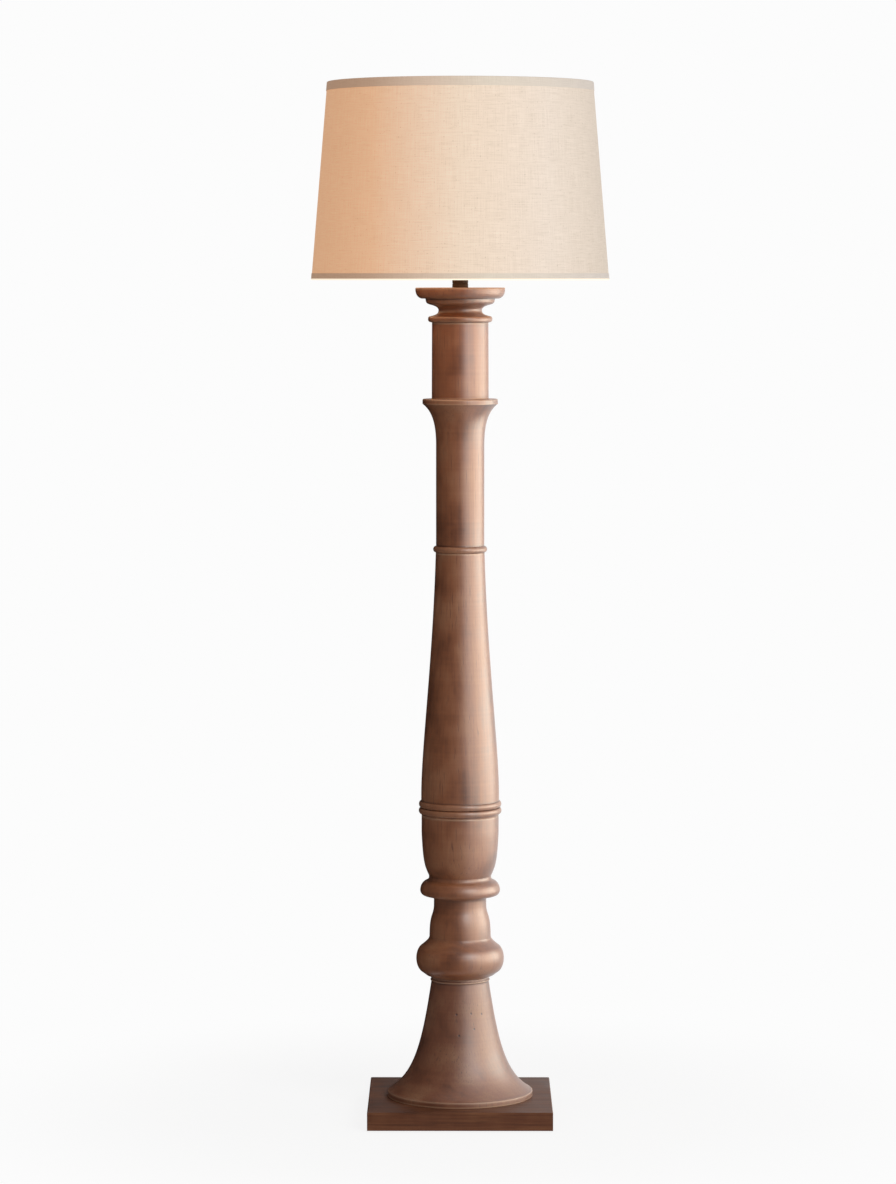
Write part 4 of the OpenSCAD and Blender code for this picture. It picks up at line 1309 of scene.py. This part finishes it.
@dataclass
class Column:
    """The seven turned sections of the column, from the bell foot to the capital."""

    bore: float = 5.5
    bell_z: float = 29.0
    knop_z: float = 212.8
    cup_z: float = 336.5
    shaft_z: float = 461.1
    upper_z: float = 862.4
    drum_z: float = 1095.6
    capital_z: float = 1210.9
    foot_r: float = 111.0
    foot_edge: float = 7.5
    bell_h: float = 183.8
    bell_neck: float = 44.0
    knop_h: float = 123.7
    knop_r: float = 67.0
    vase_foot: float = 46.8
    vase_neck: float = 40.0
    cup_h: float = 124.6
    flange_r: float = 60.9
    flange_h: float = 19.4
    waist_r: float = 47.3
    waist_z: float = 31.6
    cup_r: float = 58.8
    shaft_h: float = 401.3
    shaft_foot: float = 59.3
    shaft_head: float = 37.1
    ring_h: float = 9.8
    upper_h: float = 233.2
    upper_r: float = 36.6
    flare_h: float = 62.6
    collar_r: float = 57.1
    collar_edge: float = 7.6
    drum_h: float = 115.3
    drum_foot: float = 43.1
    drum_head: float = 42.7
    capital_h: float = 52.7
    lip_r: float = 48.7
    throat_r: float = 32.9
    step_r: float = 52.2
    capital_r: float = 67.8

    def build(self, shop: Workshop) -> None:
        """Turns the sections, each from its own log.

        Args:
            shop: the workshop.
        """
        sections = (
            ("bell_section", "foot_bell", self.bell(), self.bell_z, Finishes.BELL_WOOD, 160),
            ("knop_section", "knop_vase", self.knop(), self.knop_z, Finishes.TURNED_WOOD, 128),
            ("cup_section", "flange_cup", self.cup(), self.cup_z, Finishes.TURNED_WOOD, 128),
            (
                "shaft_section",
                "tapered_shaft",
                self.shaft(),
                self.shaft_z,
                Finishes.TURNED_WOOD,
                128,
            ),
            (
                "upper_section",
                "upper_column",
                self.upper(),
                self.upper_z,
                Finishes.TURNED_WOOD,
                128,
            ),
            ("drum_section", "column_drum", self.drum(), self.drum_z, Finishes.TURNED_WOOD, 128),
            (
                "capital_section",
                "capital",
                self.capital(),
                self.capital_z,
                Finishes.TURNED_WOOD,
                128,
            ),
        )
        for number, (name, node, outline, foot, finish, sides) in enumerate(sections):
            raised = [(r, z + foot) for r, z in outline]
            closed = [(self.bore, raised[0][1]), *raised, (self.bore, raised[-1][1])]
            piece = shop.turn(name, soften(closed, 0.5), finish, sides, float(number))
            place_piece(piece, Body.STAND, node)

    def bell(self) -> Outline:
        """Outline of the bell-shaped foot, from its own foot up.

        Returns:
            The outline, up on its outer side.
        """
        disc, edge, neck = self.foot_r, self.foot_edge, self.bell_neck
        return [
            (disc, 0),
            (disc, edge),
            (disc - 1.5, edge + 1.5),
            *curve(
                (disc - 3, edge + 2),
                (disc - 40.5, edge + 26.5),
                (neck + 14.5, 79),
                (neck, self.bell_h - 7.5),
                60,
            ),
            *arc((neck, self.bell_h - 4.6), (1.2, 1.6), -90, 90, 10),
            (neck, self.bell_h),
        ]

    def knop(self) -> Outline:
        """Outline of the round knop and the vase above it.

        Returns:
            The outline, up on its outer side.
        """
        out = 12.8
        round_part = arc((self.knop_r - out, 28.3), (out, 21.3), -70, 60, 36)
        last = round_part[-1]
        foot = 62.0
        return [
            (self.bell_neck + 0.5, 0),
            (self.bell_neck + 7.7, 3.2),
            *round_part,
            *curve(
                (last[0] - 0.6, last[1] + 0.4),
                (last[0] - 4.0, last[1] + 3.2),
                (self.vase_foot + 0.4, foot - 5),
                (self.vase_foot + 0.4, foot - 1),
                16,
            ),
            (self.vase_foot, foot - 0.8),
            *curve(
                (self.vase_foot, foot),
                (self.vase_foot, foot + 36.5),
                (self.vase_neck, foot + 31),
                (self.vase_neck, self.knop_h - 11.7),
                36,
            ),
            *arc((self.vase_neck + 4, self.knop_h - 5.7), (4, 5.5), 180, 90, 12),
            (self.vase_neck + 4, self.knop_h),
        ]

    def cup(self) -> Outline:
        """Outline of the flange and the cup above it.

        Returns:
            The outline, up on its outer side.
        """
        waist, level = self.waist_r, self.waist_z
        widest = self.flange_h / 2 - 0.2
        return [
            (self.flange_r - 14.9, 0),
            (self.flange_r - 12.9, 1.6),
            *arc((self.flange_r - 7, widest), (7, 7.7), -80, 0, 14),
            *arc((self.flange_r - 12.5, widest), (12.5, level - widest - 6.9), 5, 78, 24),
            (waist + 3.2, level - 6.8),
            *curve(
                (waist + 2.6, level - 6.4),
                (waist + 1, level - 5),
                (waist, level - 3.6),
                (waist, level),
                10,
            ),
            *curve(
                (waist + 0.2, level + 0.4),
                (waist + 6.2, level + 14.2),
                (self.cup_r - 2.2, level + 17.4),
                (self.cup_r, self.cup_h - 26.6),
                40,
            ),
            (self.cup_r, self.cup_h - 1.2),
            (self.cup_r - 0.6, self.cup_h),
        ]

    def shaft(self) -> Outline:
        """Outline of the long shaft with its double ring.

        Returns:
            The outline, up on its outer side.
        """
        taper = 2 * self.ring_h + 3.3
        return [
            (self.shaft_foot - 0.6, 0),
            *bead(self.shaft_foot, 3.8, self.ring_h / 2 + 2.4, self.ring_h),
            *bead(self.shaft_foot, 3.5, self.ring_h * 3 / 2 + 2.6, self.ring_h),
            *curve(
                (self.shaft_foot, taper),
                (self.shaft_foot + 1.2, taper + 73),
                (self.shaft_head + 4.9, self.shaft_h - 173.5),
                (self.shaft_head, self.shaft_h),
                70,
            ),
        ]

    def upper(self) -> Outline:
        """Outline of the slim upper column, its bead and its flared collar.

        Returns:
            The outline, up on its outer side.
        """
        flare = self.upper_h - self.collar_edge - self.flare_h
        return [
            (self.upper_r, 0),
            *bead(self.upper_r, 4.4, self.ring_h / 2 + 0.3, self.ring_h),
            *curve(
                (self.upper_r, flare),
                (self.upper_r, flare + 34),
                (self.upper_r + 6.6, flare + 51.5),
                (self.collar_r - 0.8, flare + self.flare_h - 0.5),
                48,
            ),
            (self.collar_r, flare + self.flare_h),
            (self.collar_r, self.upper_h - 1.2),
            (self.collar_r - 1.2, self.upper_h),
        ]

    def drum(self) -> Outline:
        """Outline of the plain drum."""
        return [(self.drum_foot, 0), (self.drum_head, self.drum_h)]

    def capital(self) -> Outline:
        """Outline of the moulded capital.

        Returns:
            The outline, up on its outer side.
        """
        lip = arc((self.lip_r - 2, 5.3), (2, 3.9), -80, 80, 16)
        throat, step = self.throat_r, self.step_r
        return [
            (self.drum_head, 0),
            (self.lip_r - 1.9, 1.1),
            *lip,
            *curve(lip[-1], (self.lip_r - 9, 11.2), (throat, 12), (throat, 18.4), 20),
            *curve((throat, 18.8), (throat, 24.7), (step - 8, 26.6), (step - 5, 27.6), 20),
            *curve((step - 4.8, 27.7), (step - 2, 28.6), (step, 30.6), (step, 33.6), 12),
            (step + 0.5, 36.1),
            (step + 6, 36.2),
            *curve(
                (step + 6.6, 36.3),
                (step + 10.6, 37.3),
                (self.capital_r - 1, 40.3),
                (self.capital_r, self.capital_h - 4.4),
                24,
            ),
            (self.capital_r, self.capital_h - 0.8),
            (self.capital_r - 0.8, self.capital_h),
        ]


@dataclass
class NeckAndHarp:
    """The bronze neck and the bent harp over the lamp holder."""

    neck_z: float = 1263.6
    neck_r: float = 12.0
    neck_h: float = 26.0
    wire_r: float = 2.3
    leg_x: float = 32.0
    foot_z: float = 1301.1
    leg_h: float = 28.0
    half_w: float = 60.0
    top_z: float = 1538.3
    eye_r: float = 6.0
    lean_out: float = 30.0
    lean_in: float = 12.0
    bend_r: float = 25.0
    bow_r: float = 60.0
    shoulder_r: float = 25.0

    def build(self, shop: Workshop) -> None:
        """Makes the neck and the harp."""
        self.make_neck(shop)
        self.make_harp(shop)

    def make_neck(self, shop: Workshop) -> None:
        """Turns the neck with a fine groove near its foot.

        Args:
            shop: the workshop.
        """
        groove = self.neck_h / 4
        outline = [
            (5.3, 0),
            (self.neck_r, 0),
            (self.neck_r, groove - 0.6),
            (self.neck_r - 0.8, groove),
            (self.neck_r, groove + 0.6),
            (self.neck_r, self.neck_h - 0.8),
            (self.neck_r - 0.8, self.neck_h),
            (5.3, self.neck_h),
        ]
        raised = [(r, z + self.neck_z) for r, z in outline]
        neck = shop.turn("bronze_neck_sleeve", soften(raised, 0.25), Finishes.BRONZE, 96, step=2.0)
        place_piece(neck, Body.STAND, "bronze_neck")

    def steps(self) -> list[tuple[float, float]]:
        """The harp from foot to foot as runs (length, 0) and bends (radius, degrees).

        Returns:
            The runs and bends of the whole harp, from one foot to the other.
        """
        out, lean = math.radians(self.lean_out), math.radians(self.lean_in)
        out_run = (
            self.half_w - self.leg_x - (self.bend_r + self.bow_r) * (1 - math.cos(out))
        ) / math.sin(out)
        in_run = (
            self.top_z
            - self.foot_z
            - self.leg_h
            - self.bend_r * math.sin(out)
            - out_run * math.cos(out)
            - self.bow_r * (math.sin(out) + math.sin(lean))
            - self.shoulder_r * (1 - math.sin(lean))
        ) / math.cos(lean)
        top_run = (
            self.half_w
            - self.bow_r * (1 - math.cos(lean))
            - in_run * math.sin(lean)
            - self.shoulder_r * math.cos(lean)
        )
        half = [
            (self.leg_h, 0.0),
            (self.bend_r, self.lean_out),
            (out_run, 0.0),
            (self.bow_r, -(self.lean_out + self.lean_in)),
            (in_run, 0.0),
            (self.shoulder_r, -(90 - self.lean_in)),
        ]
        return [*half, (2 * top_run, 0.0), *half[::-1]]

    def make_harp(self, shop: Workshop) -> None:
        """Bends the wire from the right leg over the top to the left leg.

        Args:
            shop: the workshop.
        """
        x, z, heading = self.leg_x, self.foot_z, 0.0
        path: list[Place] = [(x, 0.0, z)]
        for size, bend in self.steps():
            pieces = max(1, math.ceil(abs(bend) / 4))
            for _ in range(pieces):
                turn = math.radians(bend / pieces)
                if turn:
                    radius = math.copysign(size, turn)
                    ahead = heading + turn
                    x += radius * (math.cos(heading) - math.cos(ahead))
                    z -= radius * (math.sin(heading) - math.sin(ahead))
                    heading = ahead
                else:
                    x += size * math.sin(heading)
                    z += size * math.cos(heading)
                path.append((x, 0.0, z))
        wire = shop.wire("harp_bow", path, self.wire_r, Finishes.BRASS)
        low, high = self.top_z - self.wire_r, self.top_z + self.wire_r
        section = soften([(2.1, low), (self.eye_r, low), (self.eye_r, high), (2.1, high)], 0.5)
        eye = shop.turn("harp_eye", section, Finishes.BRASS, 48)
        harp = join("bent_harp", [wire, eye])
        place_piece(harp, Body.STAND, "harp_wire")


@dataclass
class Bulb:
    """The bulb's glass, turned from the same outline as the CAD node."""

    glass_z: float = 1346.3
    crown_z: float = 1434.0
    neck_r: float = 11.6
    widest: float = 30.0
    wall: float = 0.8

    def build(self, shop: Workshop) -> None:
        """Blows the glass envelope, open at its neck inside the cap.

        Args:
            shop: the workshop.
        """
        outer = self.profile(0.0)
        inner = self.profile(self.wall)
        glass = shop.turn("bulb_envelope", outer + inner[::-1], Finishes.LIT_GLASS, 96)
        place_piece(glass, Body.BULB, "bulb_glass")

    def profile(self, inset: float) -> Outline:
        """Outline of the glass from its neck to its crown, inset by a wall.

        Args:
            inset: how far inside the glass's outer face, in millimetres.

        Returns:
            The outline, from the neck up to the axis.
        """
        neck, belly = self.neck_r - inset, self.widest - inset
        middle = self.crown_z - self.widest
        return [
            (neck, self.glass_z),
            *curve(
                (neck, self.glass_z + 6),
                (neck + 1, self.glass_z + 26),
                (belly, middle - 22),
                (belly, middle),
                30,
            ),
            *arc((0, middle), (belly, belly), 3, 90, 29),
        ]


@dataclass
class Shade:
    """The tapered drum shade: milky backing, linen cover and folded edge tapes."""

    top_z: float = 1571.8
    height: float = 296.0
    top_r: float = 200.3
    bottom_r: float = 224.8
    linen: float = 0.7
    glue: float = 0.05
    backing: float = 0.8
    tape: float = 0.6
    top_tape: float = 13.0
    bottom_tape: float = 9.5
    wire_r: float = 1.8
    inner_fold: float = 7.0
    fold_r: float = 1.6
    wire_gap: float = 0.4
    lap: float = 12.0
    lap_rise: float = 0.5
    sides: int = 256

    @property
    def bottom_z(self) -> float:
        """Level of the linen's bottom edge."""
        return self.top_z - self.height

    def radius(self, level: float) -> float:
        """Outer radius of the linen at a level."""
        slope = (self.bottom_r - self.top_r) / self.height
        return self.top_r + (self.top_z - level) * slope

    def build(self, shop: Workshop) -> None:
        """Makes the backing, the linen and both tapes.

        Args:
            shop: the workshop.
        """
        self.make_backing(shop)
        self.make_linen(shop)
        inner_top = self.radius(self.top_z) - self.linen - self.glue - self.backing
        self.make_tape(
            shop, "top_edge_tape", "top_tape", Finishes.TAPE, 1.0, self.top_tape, inner_top
        )
        inner_low = self.radius(self.bottom_z) - self.linen - self.glue - self.backing
        self.make_tape(
            shop,
            "bottom_edge_tape",
            "bottom_tape",
            Finishes.BOTTOM_TAPE,
            -1.0,
            self.bottom_tape,
            inner_low,
        )

    def skin(self, inset: float, thickness: float) -> Outline:
        """Section of a conical layer between the shade's edges.

        Args:
            inset: how far its outer face is inside the linen's, in millimetres.
            thickness: how thick the layer is.

        Returns:
            The section's four corners.
        """
        low, high = self.bottom_z, self.top_z
        return [
            (self.radius(low) - inset - thickness, low),
            (self.radius(low) - inset, low),
            (self.radius(high) - inset, high),
            (self.radius(high) - inset - thickness, high),
        ]

    def make_backing(self, shop: Workshop) -> None:
        """Rolls the milky sheet.

        Args:
            shop: the workshop.
        """
        section = self.skin(self.linen + self.glue, self.backing)
        piece = shop.turn("rolled_backing", section, Finishes.STYRENE, self.sides, step=20)
        place_piece(piece, Body.SHADE, "shade_backing")

    def make_linen(self, shop: Workshop) -> None:
        """Stretches the linen round the backing and laps it at the back.

        Args:
            shop: the workshop.
        """
        cover = shop.turn(
            "linen_wrap", self.skin(0.0, self.linen), Finishes.LINEN, self.sides, step=12
        )
        place_piece(cover, Body.SHADE, "linen_cover")
        lap = self.make_lap(shop)

    def make_lap(self, shop: Workshop) -> Object:
        """Turns the linen's folded end under and glues it down at the back, between the tapes.

        Args:
            shop: the workshop.

        Returns:
            The lap.
        """
        clear, gap = 0.4, 0.02
        low = self.bottom_z + self.bottom_tape + clear
        high = self.top_z - self.top_tape - clear
        section = [
            (self.radius(low) + gap, low),
            (self.radius(low) + self.lap_rise, low),
            (self.radius(high) + self.lap_rise, high),
            (self.radius(high) + gap, high),
        ]
        lap = shop.turn("linen_lap", section, Finishes.LINEN, self.sides, step=12)
        half = self.lap / 2 / self.bottom_r
        shape = bmesh.new()
        shape.from_mesh(lap.data)
        for side in (1, -1):
            bmesh.ops.bisect_plane(
                shape,
                geom=[*shape.verts, *shape.edges, *shape.faces],
                plane_co=(0, 0, 0),
                plane_no=(side * math.cos(half), -math.sin(half), 0),
                clear_outer=True,
            )
        bmesh.ops.holes_fill(shape, edges=[e for e in shape.edges if e.is_boundary], sides=0)
        bmesh.ops.recalc_face_normals(shape, faces=shape.faces)
        shape.to_mesh(lap.data)
        shape.free()
        lap.data.set_sharp_from_angle(angle=SHARP)
        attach(lap, Body.SHADE.value)
        return lap

    def make_tape(
        self,
        shop: Workshop,
        name: str,
        node: str,
        finish: Cloth,
        up: float,
        height: float,
        backing_r: float,
    ) -> None:
        """Folds a tape over one edge of the shade and round the wire behind it.

        Args:
            shop: the workshop.
            name: the piece's name.
            node: the CAD node that it stands for.
            finish: the tape's cloth.
            up: 1 for the top edge, -1 for the bottom edge.
            height: how much of the tape shows outside.
            backing_r: inner radius of the backing at that edge.
        """
        edge = self.top_z if up > 0 else self.bottom_z
        out = self.glue + self.tape / 2
        far, fold = edge - up * height, edge + up * out
        inner = backing_r - 2 * self.wire_r - self.wire_gap - out
        path = [
            (self.radius(far) + out, far),
            (self.radius(edge) + out, fold),
            (inner, fold),
            (inner, edge - up * self.inner_fold),
        ]
        path = soften(path, self.fold_r, closed=False)
        section = ribbon(path, self.tape)
        if up < 0:
            section = section[::-1]
        piece = shop.turn(name, section, finish, self.sides, step=6)
        place_piece(piece, Body.SHADE, node)


@dataclass
class Finial:
    """The turned brass finial on the harp's stud."""

    foot_z: float = 1545.6
    height: float = 27.0
    hole_r: float = 3.18
    hole_h: float = 11.0
    foot_r: float = 9.0
    ball_r: float = 7.0

    def build(self, shop: Workshop) -> None:
        """Turns the finial with its blind hole.

        Args:
            shop: the workshop.
        """
        ball = self.height - self.ball_r
        outline = [
            (self.hole_r, 0),
            (self.foot_r, 0),
            (self.foot_r, 1.6),
            (self.foot_r - 2, 3),
            (5.2, 5),
            *arc((5.2, 7.5), (1.2, 1.6), -90, 90, 12),
            (4.4, 10.2),
            *arc((0, ball), (self.ball_r, self.ball_r), -50, 90, 32),
            (0, self.hole_h),
            (self.hole_r, self.hole_h),
        ]
        raised = [(r, z + self.foot_z) for r, z in outline]
        piece = shop.turn("turned_finial", raised, Finishes.BRASS, 64, step=2.0)
        place_piece(piece, Body.FINIAL, "finial")


# CAD nodes whose shape is right, with the finish that each one gets
KEPT_NODES: dict[str, Finish] = {
    "plinth": Finishes.PLINTH_WOOD,
    "ballast_weight": Finishes.CAST_IRON,
    "foot_screws": Finishes.ZINC,
    "bottom_board": Finishes.HARDBOARD,
    "cord_bush": Finishes.PHENOLIC,
    "lamp_pipe": Finishes.ZINC,
    "pipe_washer": Finishes.ZINC,
    "pipe_nut": Finishes.ZINC,
    "harp_saddle": Finishes.BRASS,
    "harp_stud": Finishes.BRASS,
    "left_sleeve": Finishes.BRASS,
    "right_sleeve": Finishes.BRASS,
    "holder_cap": Finishes.BRASS,
    "cap_screw": Finishes.ZINC,
    "holder_shell": Finishes.BRASS,
    "holder_liner": Finishes.FIBRE,
    "holder_interior": Finishes.PHENOLIC,
    "terminal_screws": Finishes.BRASS,
    "screw_shell": Finishes.NICKEL,
    "centre_contact": Finishes.BRASS,
    "switch_spindle": Finishes.BRASS,
    "switch_cam": Finishes.FIBRE,
    "switch_knob": Finishes.PHENOLIC,
    "bulb_cap": Finishes.NICKEL,
    "bulb_insulator": Finishes.PHENOLIC,
    "bulb_tip": Finishes.NICKEL,
    "bulb_stem": Finishes.LIT_GLASS,
    "bulb_filament": Finishes.TUNGSTEN,
    "shade_fitter": Finishes.COATED_WIRE,
    "bottom_ring": Finishes.COATED_WIRE,
}


def place_piece(piece: Object, body: Body, node: str) -> None:
    """Lets a new piece ride on its body in place of a CAD node.

    Args:
        piece: the piece.
        body: the body that it moves with.
        node: the CAD node that it stands for.
    """
    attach(piece, body.value)
    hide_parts(node)
    LOG.info("made %s for %s, %d faces", piece.name, node, len(piece.data.polygons))


def dress_kept_nodes(nodes: dict[str, Object]) -> None:
    """Gives each kept CAD node its finish.

    Args:
        nodes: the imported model's objects by name.
    """
    for name, finish in KEPT_NODES.items():
        for slot in nodes[name].material_slots:
            slot.material = finish.make()
        LOG.info("dressed %s in %s", name, finish.name)


# --------------------------------------------------------------------------------- studio


@dataclass(frozen=True)
class Arc:
    """An upright wall round the lamp: degrees from the camera to the right, and metres."""

    start: float
    end: float
    reach: float
    low: float
    high: float
    steps: int = 36

    def wall(self) -> tuple[list[Place], list[tuple]]:
        """Points, first the low row and then the high one, and faces of the wall.

        Returns:
            The points and the faces.
        """
        turns = [
            math.radians(self.start + (self.end - self.start) * i / self.steps)
            for i in range(self.steps + 1)
        ]
        spots = [(self.reach * math.sin(t), -self.reach * math.cos(t)) for t in turns]
        verts = [(x, y, level) for level in (self.low, self.high) for x, y in spots]
        count = len(spots)
        faces = [(i, i + 1, count + i + 1, count + i) for i in range(self.steps)]
        return verts, faces


@dataclass
class Studio:
    """The white studio: camera, soft lights, drape, pale floor and background."""

    aim_z: float = 0.9
    camera_y: float = -6.3
    camera_z: float = 1.2844
    tilt_down: float = 4.377
    # The column stands 11 pixels right of the picture's middle
    turn_left: float = 0.168
    lens: float = 126.4
    sensor: float = 36.0
    sight: float = 200.0
    white: str = "#fcfcfc"
    fill_level: float = 0.34
    floor_half: float = 30.0
    floor_z: float = -0.0001
    floor_glow: float = 0.88
    # How far from the lamp, in metres, the floor starts and ends to turn plain white
    fade_from: float = 0.3
    fade_to: float = 0.9
    drape: Arc = Arc(-178.0, 20.0, 1.6, 0.0, 6.0)
    card: Arc = Arc(30.0, 120.0, 2.2, 0.05, 1.5)
    card_level: float = 6.2

    def build(self) -> None:
        """Sets up the camera, the lights, the drape, the world and the floor."""
        self.add_camera()
        self.add_light("key_softbox", side=33, away=3.0, height=2.0, size=(1.6, 1.6), power=43)
        self.add_light("rim_softbox", side=98, away=2.5, height=1.5, size=(1.0, 2.0), power=2)
        self.add_drape()
        self.add_card()
        self.add_world()
        self.add_floor()
        bpy.context.scene.view_settings.view_transform = "Standard"

    def add_camera(self) -> None:
        """Stands the camera where the photograph was taken from."""
        data = bpy.data.cameras.new("camera")
        data.lens = self.lens
        data.sensor_width = self.sensor
        data.clip_end = self.sight
        camera = add_object("camera", data)
        camera.location = (0, self.camera_y, self.camera_z)
        camera.rotation_euler = (math.radians(90 - self.tilt_down), 0, math.radians(self.turn_left))
        bpy.context.scene.camera = camera

    def add_light(
        self, name: str, side: float, away: float, height: float, size: Point, power: float
    ) -> None:
        """Hangs a soft rectangular light that faces the middle of the column.

        Args:
            name: the light's name.
            side: degrees round the lamp, from the camera towards the right.
            away: distance from the column in metres.
            height: height of its middle in metres.
            size: its width and height in metres.
            power: its power in watts.
        """
        data = bpy.data.lights.new(name, "AREA")
        data.shape = "RECTANGLE"
        data.size, data.size_y = size
        data.energy = power
        light = add_object(name, data)
        turn = math.radians(side)
        place = Vector((away * math.sin(turn), -away * math.cos(turn), height))
        light.location = place
        light.rotation_euler = (
            Vector((0, 0, self.aim_z)) - place
        ).to_track_quat("-Z", "Y").to_euler()

    def add_drape(self) -> None:
        """Hangs a black drape round the left and the front, and lays its end on the floor."""
        verts, faces = self.drape.wall()
        count = self.drape.steps + 1
        level, hem = 0.002, 0.13
        verts += [(x * hem, y * hem, level) for x, y, _ in verts[:count]]
        verts += [(x, y, level) for x, y, _ in verts[:count]]
        faces += [
            (2 * count + i, 3 * count + i, 3 * count + i + 1, 2 * count + i + 1)
            for i in range(count - 1)
        ]
        velvet = plain_material(
            "black_velvet", "ShaderNodeBsdfDiffuse", {"Color": linear("#202020")}
        )
        self.show_in_reflections("black_drape", verts, faces, velvet)

    def add_card(self) -> None:
        """Stands a card on the right, brighter towards the side: the pale sheen in the wax."""
        verts, faces = self.card.wall()
        material = plain_material("lit_card", "ShaderNodeEmission", {"Color": linear("#f5f4e6")})
        tree = material.node_tree
        add = partial(add_node, tree)
        place = add("ShaderNodeTexCoord")
        apart = add("ShaderNodeSeparateXYZ", (place.outputs["Object"],))
        front, back = -0.87 * self.card.reach, -0.2 * self.card.reach
        dimmest = 0.25 * self.card_level
        rising = add(MAP_RANGE, (apart.outputs[1], front, back, dimmest, self.card_level))
        glow = next(n for n in tree.nodes if n.bl_idname == "ShaderNodeEmission")
        tree.links.new(rising.outputs[0], glow.inputs["Strength"])
        self.show_in_reflections("white_card", verts, faces, material)

    def show_in_reflections(
        self, name: str, verts: list[Place], faces: list[tuple], material: Material
    ) -> None:
        """Adds a studio surface that only reflections see.

        Args:
            name: its name.
            verts: its points in metres.
            faces: its faces.
            material: what it is covered with.
        """
        mesh = bpy.data.meshes.new(name)
        mesh.from_pydata(verts, [], faces)
        mesh.materials.append(material)
        surface = add_object(name, mesh)
        surface.visible_camera = False
        surface.visible_diffuse = False
        surface.visible_shadow = False
        surface.visible_transmission = False

    def seen_directly(self, tree: NodeTree) -> NodeSocket:
        """1 for camera, glossy and transmission rays, so that all of them see white.

        Args:
            tree: the tree of a material or of the world.

        Returns:
            The output.
        """
        add = partial(add_node, tree)
        ray = add("ShaderNodeLightPath")
        pair = add(
            MATH, (ray.outputs["Is Camera Ray"], ray.outputs["Is Glossy Ray"]), operation="MAXIMUM"
        )
        every = add(MATH, (pair, ray.outputs["Is Transmission Ray"]), operation="MAXIMUM")
        return every.outputs[0]

    def add_world(self) -> None:
        """Fills the room with even light in front of a white background."""
        world = bpy.data.worlds.new("studio")
        bpy.context.scene.world = world
        world.use_nodes = True
        tree = world.node_tree
        add = partial(add_node, tree)
        tree.nodes.clear()
        strength = add(MAP_RANGE, {0: self.seen_directly(tree), 3: self.fill_level, 4: 1.0})
        sky = add("ShaderNodeBackground", {"Color": linear(self.white), "Strength": strength})
        add("ShaderNodeOutputWorld", {"Surface": sky})

    def add_floor(self) -> None:
        """Lays a pale floor that keeps a faint shadow and fades into the background."""
        half = self.floor_half
        mesh = bpy.data.meshes.new("floor")
        square = [
            (x * half, y * half, self.floor_z) for x, y in ((-1, -1), (1, -1), (1, 1), (-1, 1))
        ]
        mesh.from_pydata(square, [], [(0, 1, 2, 3)])
        floor = add_object("floor", mesh)
        material = new_material("pale_floor")
        tree = material.node_tree
        add = partial(add_node, tree)
        paper = add("ShaderNodeBsdfDiffuse", {"Color": linear("#e8e8e8")})
        faint = add("ShaderNodeBsdfDiffuse", {"Color": linear("#6e6e6e")})
        glow = add("ShaderNodeEmission", {"Color": linear(self.white), "Strength": self.floor_glow})
        near = add("ShaderNodeAddShader", (faint, glow))
        far = add("ShaderNodeEmission", {"Color": linear(self.white), "Strength": 1.0})
        place = add("ShaderNodeTexCoord")
        away = add(VECTOR_MATH, (place.outputs["Object"],), operation="LENGTH")
        fade = add(
            MAP_RANGE,
            (away.outputs["Value"], self.fade_from, self.fade_to),
            interpolation_type="SMOOTHSTEP",
        )
        shown = add("ShaderNodeMixShader", (fade, near, far))
        either = add("ShaderNodeMixShader", (self.seen_directly(tree), paper, shown))
        # From below the floor is clear, so that the underside can be looked at
        side = add("ShaderNodeNewGeometry")
        clear = add("ShaderNodeBsdfTransparent")
        shown_above = add("ShaderNodeMixShader", (side.outputs["Backfacing"], either, clear))
        add("ShaderNodeOutputMaterial", {"Surface": shown_above})
        mesh.materials.append(material)


def main() -> None:
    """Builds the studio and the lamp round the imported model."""
    logging.basicConfig(level=logging.INFO, format="%(name)s: %(message)s")
    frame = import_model()
    Studio().build()
    shop = Workshop()
    for part in (Plinth(), Column(), NeckAndHarp(), Bulb(), Shade(), Finial()):
        part.build(shop)
    dress_kept_nodes(frame["nodes"])


if __name__ == "__main__":
    main()
